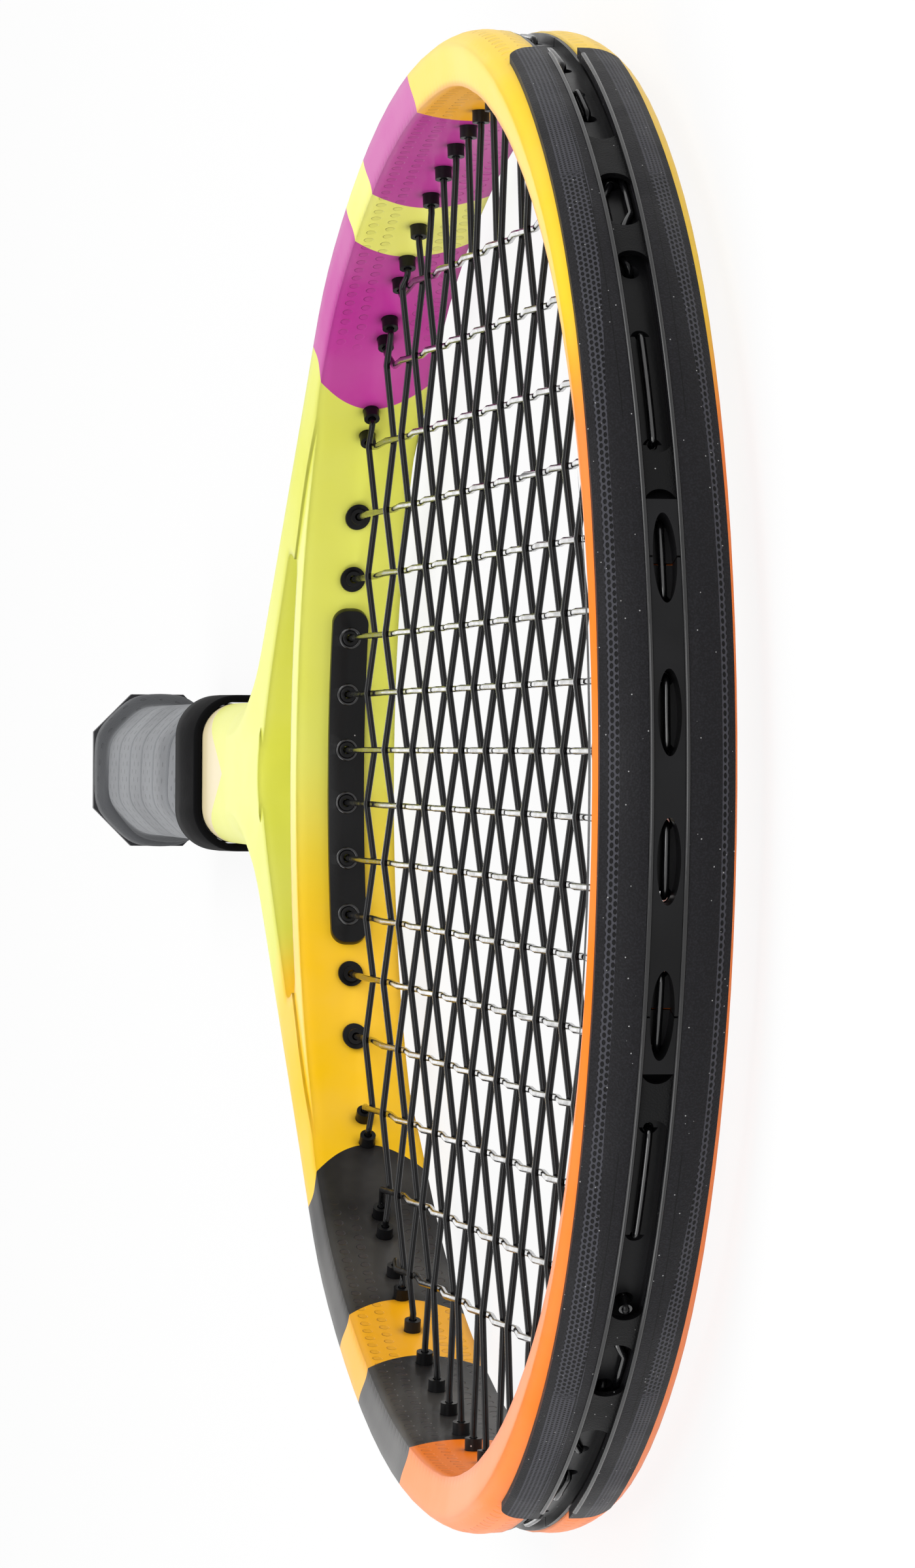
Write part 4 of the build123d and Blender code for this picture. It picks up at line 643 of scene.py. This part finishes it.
# ---------------------------------------------------------------- help with pieces
CAD_WELD, WELD = 2e-6, 1e-6                 # metres within which a CAD copy's and a new piece's doubles merge
FLAT_ANGLE = math.radians(0.6)              # triangles that lie this flat to each other become one face


def nothing_selected():
    """Leaves edit mode and deselects every object."""
    if bpy.context.object and bpy.context.object.mode != "OBJECT":
        bpy.ops.object.mode_set(mode="OBJECT")
    bpy.ops.object.select_all(action="DESELECT")


def alone(piece):
    """Makes a piece the only one selected."""
    nothing_selected()
    piece.select_set(True)
    bpy.context.view_layer.objects.active = piece


def edit_whole():
    """Edit mode, with all of the active piece selected."""
    bpy.ops.object.mode_set(mode="EDIT")
    bpy.ops.mesh.select_all(action="SELECT")


def edited(smooth_angle):
    """Back to object mode, shaded smooth up to an angle."""
    bpy.ops.object.mode_set(mode="OBJECT")
    bpy.ops.object.shade_smooth_by_angle(angle=math.radians(smooth_angle))


def place_applied():
    """Moves the active piece's place, turn and scale into its mesh."""
    bpy.ops.object.transform_apply(location=True, rotation=True, scale=True)


def copied(node, name):
    """A copy of a CAD node as a piece of its own, with its loose triangles merged."""
    piece = bpy.data.objects.new(name, nodes[node].data.copy())
    bpy.context.scene.collection.objects.link(piece)
    alone(piece)
    edit_whole()
    bpy.ops.mesh.remove_doubles(threshold=CAD_WELD)
    bpy.ops.object.mode_set(mode="OBJECT")
    return piece


def dressed(piece, paint, body):
    """Gives a piece its only material and the body it moves with."""
    piece.data.materials.clear()
    piece.data.materials.append(paint)
    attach(piece, body)


def painted(paint, *names):
    """Gives CAD nodes that keep their own shape a finer material."""
    for name in names:
        for slot in nodes[name].material_slots:
            slot.material = paint


# ---------------------------------------------------------------- strings, pad, cap and collar
COLLAR_RIM = 0.9 * MM                       # radius of the collar's outer rims


def smooth_string(node, name, paint):
    """A string's copy with smooth shading, in the CAD string's place."""
    piece = copied(node, name)
    bpy.ops.object.shade_smooth_by_angle(angle=math.radians(60))
    dressed(piece, paint, "racket")
    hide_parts(node)


def eased(node, name, paint, width):
    """A moulding's copy with its edges rounded, in the CAD node's place."""
    piece = copied(node, name)
    edit_whole()
    bpy.ops.mesh.dissolve_limited(angle_limit=FLAT_ANGLE)
    bpy.ops.object.mode_set(mode="OBJECT")
    ease = piece.modifiers.new("ease", "BEVEL")
    ease.width = width
    ease.segments = 2
    ease.limit_method = "ANGLE"
    ease.angle_limit = math.radians(20)
    bpy.ops.object.modifier_apply(modifier=ease.name)
    bpy.ops.object.shade_smooth_by_angle(angle=math.radians(40))
    dressed(piece, paint, "racket")
    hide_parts(node)


def rounded_collar(paint):
    """The rubber collar with its two outer rims rounded, in the CAD collar's place."""
    piece = copied("rubber_collar", "collar_sleeve")
    bpy.ops.object.mode_set(mode="EDIT")
    bpy.ops.mesh.select_mode(type="FACE")
    bpy.ops.mesh.select_all(action="DESELECT")
    # The outer wall's faces look away from the X axis, not along it as the two ends' do
    for face in bmesh.from_edit_mesh(piece.data).faces:
        middle = face.calc_center_median()
        outwards = middle.y * face.normal.y + middle.z * face.normal.z > 0
        face.select_set(abs(face.normal.x) < 0.9 and outwards)
    bpy.ops.mesh.dissolve_limited(angle_limit=FLAT_ANGLE)
    bpy.ops.mesh.region_to_loop()
    bpy.ops.mesh.bevel(offset=COLLAR_RIM, segments=3, affect="EDGES")
    edited(40)
    dressed(piece, paint, "collar")
    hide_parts("rubber_collar")


# ---------------------------------------------------------------- lips of the slot, rings of the pad
LIP_WIRE = 0.42 * MM                        # radius of the lips' and the rings' round bead
LIP_OUT, LIP_HEIGHT = 6.45 * MM, 2.75 * MM  # out from the middle of the tube, and up from the string plane
LIP_END_TURN = 69.5                         # where the lips end on the side arc, in degrees from X
RING_RADIUS = 1.9 * MM
RING_MAINS = (5.35 * MM, 16.55 * MM, 27.9 * MM)     # Y of the strings through the pad


def slot_lips(paint):
    """A round lip along both edges of the guard's slot, spun round the head's first two arcs and mirrored."""
    nothing_selected()
    start = (TIP_CENTRE_X + TIP_RADIUS + LIP_OUT, 0, LIP_HEIGHT)
    upright = (math.pi / 2, 0, 0)
    bpy.ops.mesh.primitive_circle_add(vertices=10, radius=LIP_WIRE, location=start, rotation=upright)
    piece = bpy.context.object
    piece.name = piece.data.name = "slot_lips"
    place_applied()
    edit_whole()
    arcs = (((TIP_CENTRE_X, 0, 0), TIP_TURN, 72), ((*SIDE_CENTRE, 0), LIP_END_TURN - TIP_TURN, 30))
    for centre, turn, steps in arcs:
        bpy.ops.mesh.spin(steps=steps, angle=-math.radians(turn), center=centre, axis=(0, 0, 1))
    bpy.ops.mesh.select_all(action="SELECT")
    bpy.ops.mesh.remove_doubles(threshold=WELD)
    bpy.ops.object.mode_set(mode="OBJECT")
    both = piece.modifiers.new("both", "MIRROR")
    both.use_axis = (False, True, True)
    both.merge_threshold = 0.00001
    bpy.ops.object.modifier_apply(modifier=both.name)
    # The open ends of the beads are closed
    bpy.ops.object.mode_set(mode="EDIT")
    bpy.ops.mesh.select_all(action="DESELECT")
    bpy.ops.mesh.select_mode(type="EDGE")
    bpy.ops.mesh.select_non_manifold(extend=False)
    bpy.ops.mesh.edge_face_add()
    bpy.ops.mesh.select_all(action="SELECT")
    bpy.ops.mesh.normals_make_consistent(inside=False)
    edited(60)
    dressed(piece, paint, "racket")


def spun_ring():
    """A ring of round bead about the X axis, to be copied."""
    nothing_selected()
    bpy.ops.mesh.primitive_circle_add(vertices=8, radius=LIP_WIRE, location=(0, RING_RADIUS, 0))
    ring = bpy.context.object
    place_applied()
    edit_whole()
    bpy.ops.mesh.spin(steps=28, angle=2 * math.pi, center=(0, 0, 0), axis=(1, 0, 0))
    bpy.ops.mesh.select_all(action="SELECT")
    bpy.ops.mesh.remove_doubles(threshold=WELD)
    bpy.ops.mesh.normals_make_consistent(inside=False)
    edited(60)
    return ring


def pad_rings(paint):
    """A raised ring round each string's hole in the throat pad, lying on the pad's curved face."""
    shape = bmesh.new()
    shape.from_mesh(nodes["throat_grommet_pad"].data)
    pad = BVHTree.FromBMesh(shape)
    shape.free()
    # Rays from in front find the pad's face beside each hole, and its lean there
    in_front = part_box("throat_grommet_pad")[1][0] + 10 * MM
    probe = 1.5 * MM
    pattern = spun_ring()
    for side, way in (("left", 1), ("right", -1)):
        for number, main in enumerate(RING_MAINS, 1):
            y = way * main
            starts = [(in_front, y + step, RING_RADIUS) for step in (-probe, 0, probe)]
            right, x, left = [pad.ray_cast(start, (-1, 0, 0))[0].x for start in starts]
            ring = bpy.data.objects.new("pad_ring_%s_%d" % (side, number), pattern.data.copy())
            bpy.context.scene.collection.objects.link(ring)
            ring.data.name = ring.name
            ring.rotation_euler = (0, 0, math.atan2(right - left, 2 * probe))
            ring.location = (x, y, 0)
            alone(ring)
            place_applied()
            dressed(ring, paint, "racket")
    bpy.data.meshes.remove(pattern.data)


# ---------------------------------------------------------------- grip
# An octagonal sleeve with a flared end and a neck at the collar, wound from one strip
GRIP_START, FLARE_START, FLARE_END, GRIP_END = 3.2 * MM, 10.0 * MM, 19.0 * MM, 176.0 * MM
TAPER_START, TAPER_END = 135.0 * MM, 160.0 * MM
GRIP_WIDTH, FLARE_WIDER, NECK_NARROWER = 32.4 * MM, 6.2 * MM, 1.4 * MM      # along Y
GRIP_DEPTH, FLARE_DEEPER, NECK_THINNER = 28.4 * MM, 4.0 * MM, 3.6 * MM      # along Z
GRIP_CORNER, FLARE_CORNER, NECK_CORNER = 8.4 * MM, 0.14, 0.127      # cut off by the octagon, and its changes
CORNER_SHARPNESS = 14.0                             # the higher, the sharper the eight corners
SEAM_DEPTH, SEAM_REACH, SEAM_CURVE = 0.75 * MM, 1.5 * MM, 1.4       # the groove, to each side of the seam
TURN_CROWN = 0.12 * MM                              # how far a turn's middle stands up
ROUND_RUN, ROUND_DEPTH = 2.0 * MM, 1.2 * MM         # the rounding at the butt
GRIP_WALL = 1.3 * MM
GIRTH = 100.0 * MM                                  # the strip's run for one turn
AROUND, DOWN = 96, 260                              # faces round the grip and along it


def grip_radius(turn, x):
    """Reach of the octagon with eased corners at this angle round X."""
    flare = min(1.0, max(0.0, (FLARE_END - x) / (FLARE_END - FLARE_START)))
    flare = flare * flare * (3 - 2 * flare)
    neck = min(1.0, max(0.0, (x - TAPER_START) / (TAPER_END - TAPER_START)))
    half_y = (GRIP_WIDTH + FLARE_WIDER * flare - NECK_NARROWER * neck) / 2
    half_z = (GRIP_DEPTH + FLARE_DEEPER * flare - NECK_THINNER * neck) / 2
    corner = GRIP_CORNER * (1 + FLARE_CORNER * flare - NECK_CORNER * neck)
    across, up = abs(math.cos(turn)), abs(math.sin(turn))
    limits = [half_y / max(across, 1e-6), half_z / max(up, 1e-6), (half_y + half_z - corner) / (across + up)]
    return sum(limit ** -CORNER_SHARPNESS for limit in limits) ** (-1 / CORNER_SHARPNESS)


def grip_x(down):
    """X at a share of the grip's length."""
    return GRIP_START + down * (GRIP_END - GRIP_START)


def lay_strip(mesh, shares):
    """Coordinates along and across the wound strip, so that its leather follows the spiral."""
    lay = mesh.uv_layers.new(name="wrap")
    for loop in mesh.loops:
        around, down = shares[loop.vertex_index]
        turns = grip_x(down) / WRAP_PITCH + around
        lay.data[loop.index].uv = (around * GIRTH, (turns % 1.0) * WRAP_PITCH)
    # A seam inside a face would smear its coordinates across the strip, so the face keeps one side
    for face in mesh.polygons:
        values = [lay.data[k].uv[1] for k in face.loop_indices]
        if max(values) - min(values) > WRAP_PITCH / 2:
            for k in face.loop_indices:
                if lay.data[k].uv[1] < WRAP_PITCH / 2:
                    lay.data[k].uv[1] += WRAP_PITCH


def bend_round(mesh, shares):
    """Bends the flat sheet round the handle, with a groove at the seam and a crown on each turn."""
    for vertex, (around, down) in zip(mesh.vertices, shares):
        turn = around * 2 * math.pi
        x = grip_x(down)
        phase = (x / WRAP_PITCH + around) % 1.0
        seam = min(phase, 1 - phase) * WRAP_PITCH
        groove = SEAM_DEPTH * max(0.0, 1 - seam / SEAM_REACH) ** SEAM_CURVE
        crown = TURN_CROWN * math.sin(math.pi * phase)
        ends = min(1.0, (x - GRIP_START) / ROUND_RUN)
        rounding = (1 - math.sqrt(max(0.0, 1 - (1 - ends) ** 2))) * ROUND_DEPTH
        reach = grip_radius(turn, x) - groove * ends + crown - rounding
        vertex.co = (x, reach * math.cos(turn), reach * math.sin(turn))


def wound_grip(paint):
    """A sheet bent round the handle, with the strip's spiral seam and padded turns."""
    nothing_selected()
    bpy.ops.mesh.primitive_grid_add(x_subdivisions=AROUND, y_subdivisions=DOWN, size=1.0)
    piece = bpy.context.object
    piece.name = piece.data.name = "wound_grip"
    shares = [(v.co.x + 0.5, v.co.y + 0.5) for v in piece.data.vertices]
    lay_strip(piece.data, shares)
    bend_round(piece.data, shares)
    edit_whole()
    bpy.ops.mesh.remove_doubles(threshold=WELD)
    bpy.ops.mesh.normals_make_consistent(inside=False)
    bpy.ops.object.mode_set(mode="OBJECT")
    wall = piece.modifiers.new("wall", "SOLIDIFY")
    wall.thickness = GRIP_WALL
    wall.offset = -1.0
    bpy.ops.object.modifier_apply(modifier=wall.name)
    bpy.ops.object.shade_smooth_by_angle(angle=math.radians(50))
    dressed(piece, paint, "racket")
    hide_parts("base_grip")


# ---------------------------------------------------------------- the whole racket
def racket():
    """Every piece in its finish."""
    grommet = black_nylon("grommet_plastic", 0.34, 1800.0, 0.02 * MM, 0.004, tint(13, 13, 14))
    cap = black_nylon("cap_plastic", 0.45, 2200.0, 0.05 * MM, 0.01, tint(34, 34, 37))
    lip = lip_nylon()
    main_gut = string_gut("main_gut", 1.0)
    cross_gut = string_gut("cross_gut", 0.2)
    painted(frame_paint(), "frame")
    painted(guard_nylon(), "bumper_guard")
    smooth_string("main_string", "mains", main_gut)
    smooth_string("cross_string", "crosses", cross_gut)
    slot_lips(lip)
    wound_grip(grip_leather())
    rounded_collar(collar_rubber())
    pad_rings(lip)
    eased("throat_grommet_pad", "throat_pad", grommet, 0.4 * MM)
    painted(grommet, *[name for name in nodes if "grommet" in name and name != "throat_grommet_pad"])
    painted(main_gut, "main_knot_left", "main_knot_right", "cross_knot_left", "cross_knot_right")
    painted(pallet_foam(), "handle_pallet")
    eased("butt_cap", "cap", cap, 1.2 * MM)
    painted(cap, "trap_door")
    painted(staple_wire(), "front_cap_staple", "rear_cap_staple")
    painted(tape_vinyl(), "finishing_tape")


bpy.context.scene.view_settings.view_transform = "Standard"
camera()
backdrop()
pale_floor()
for lamp in LAMPS:
    softbox(*lamp)
racket()
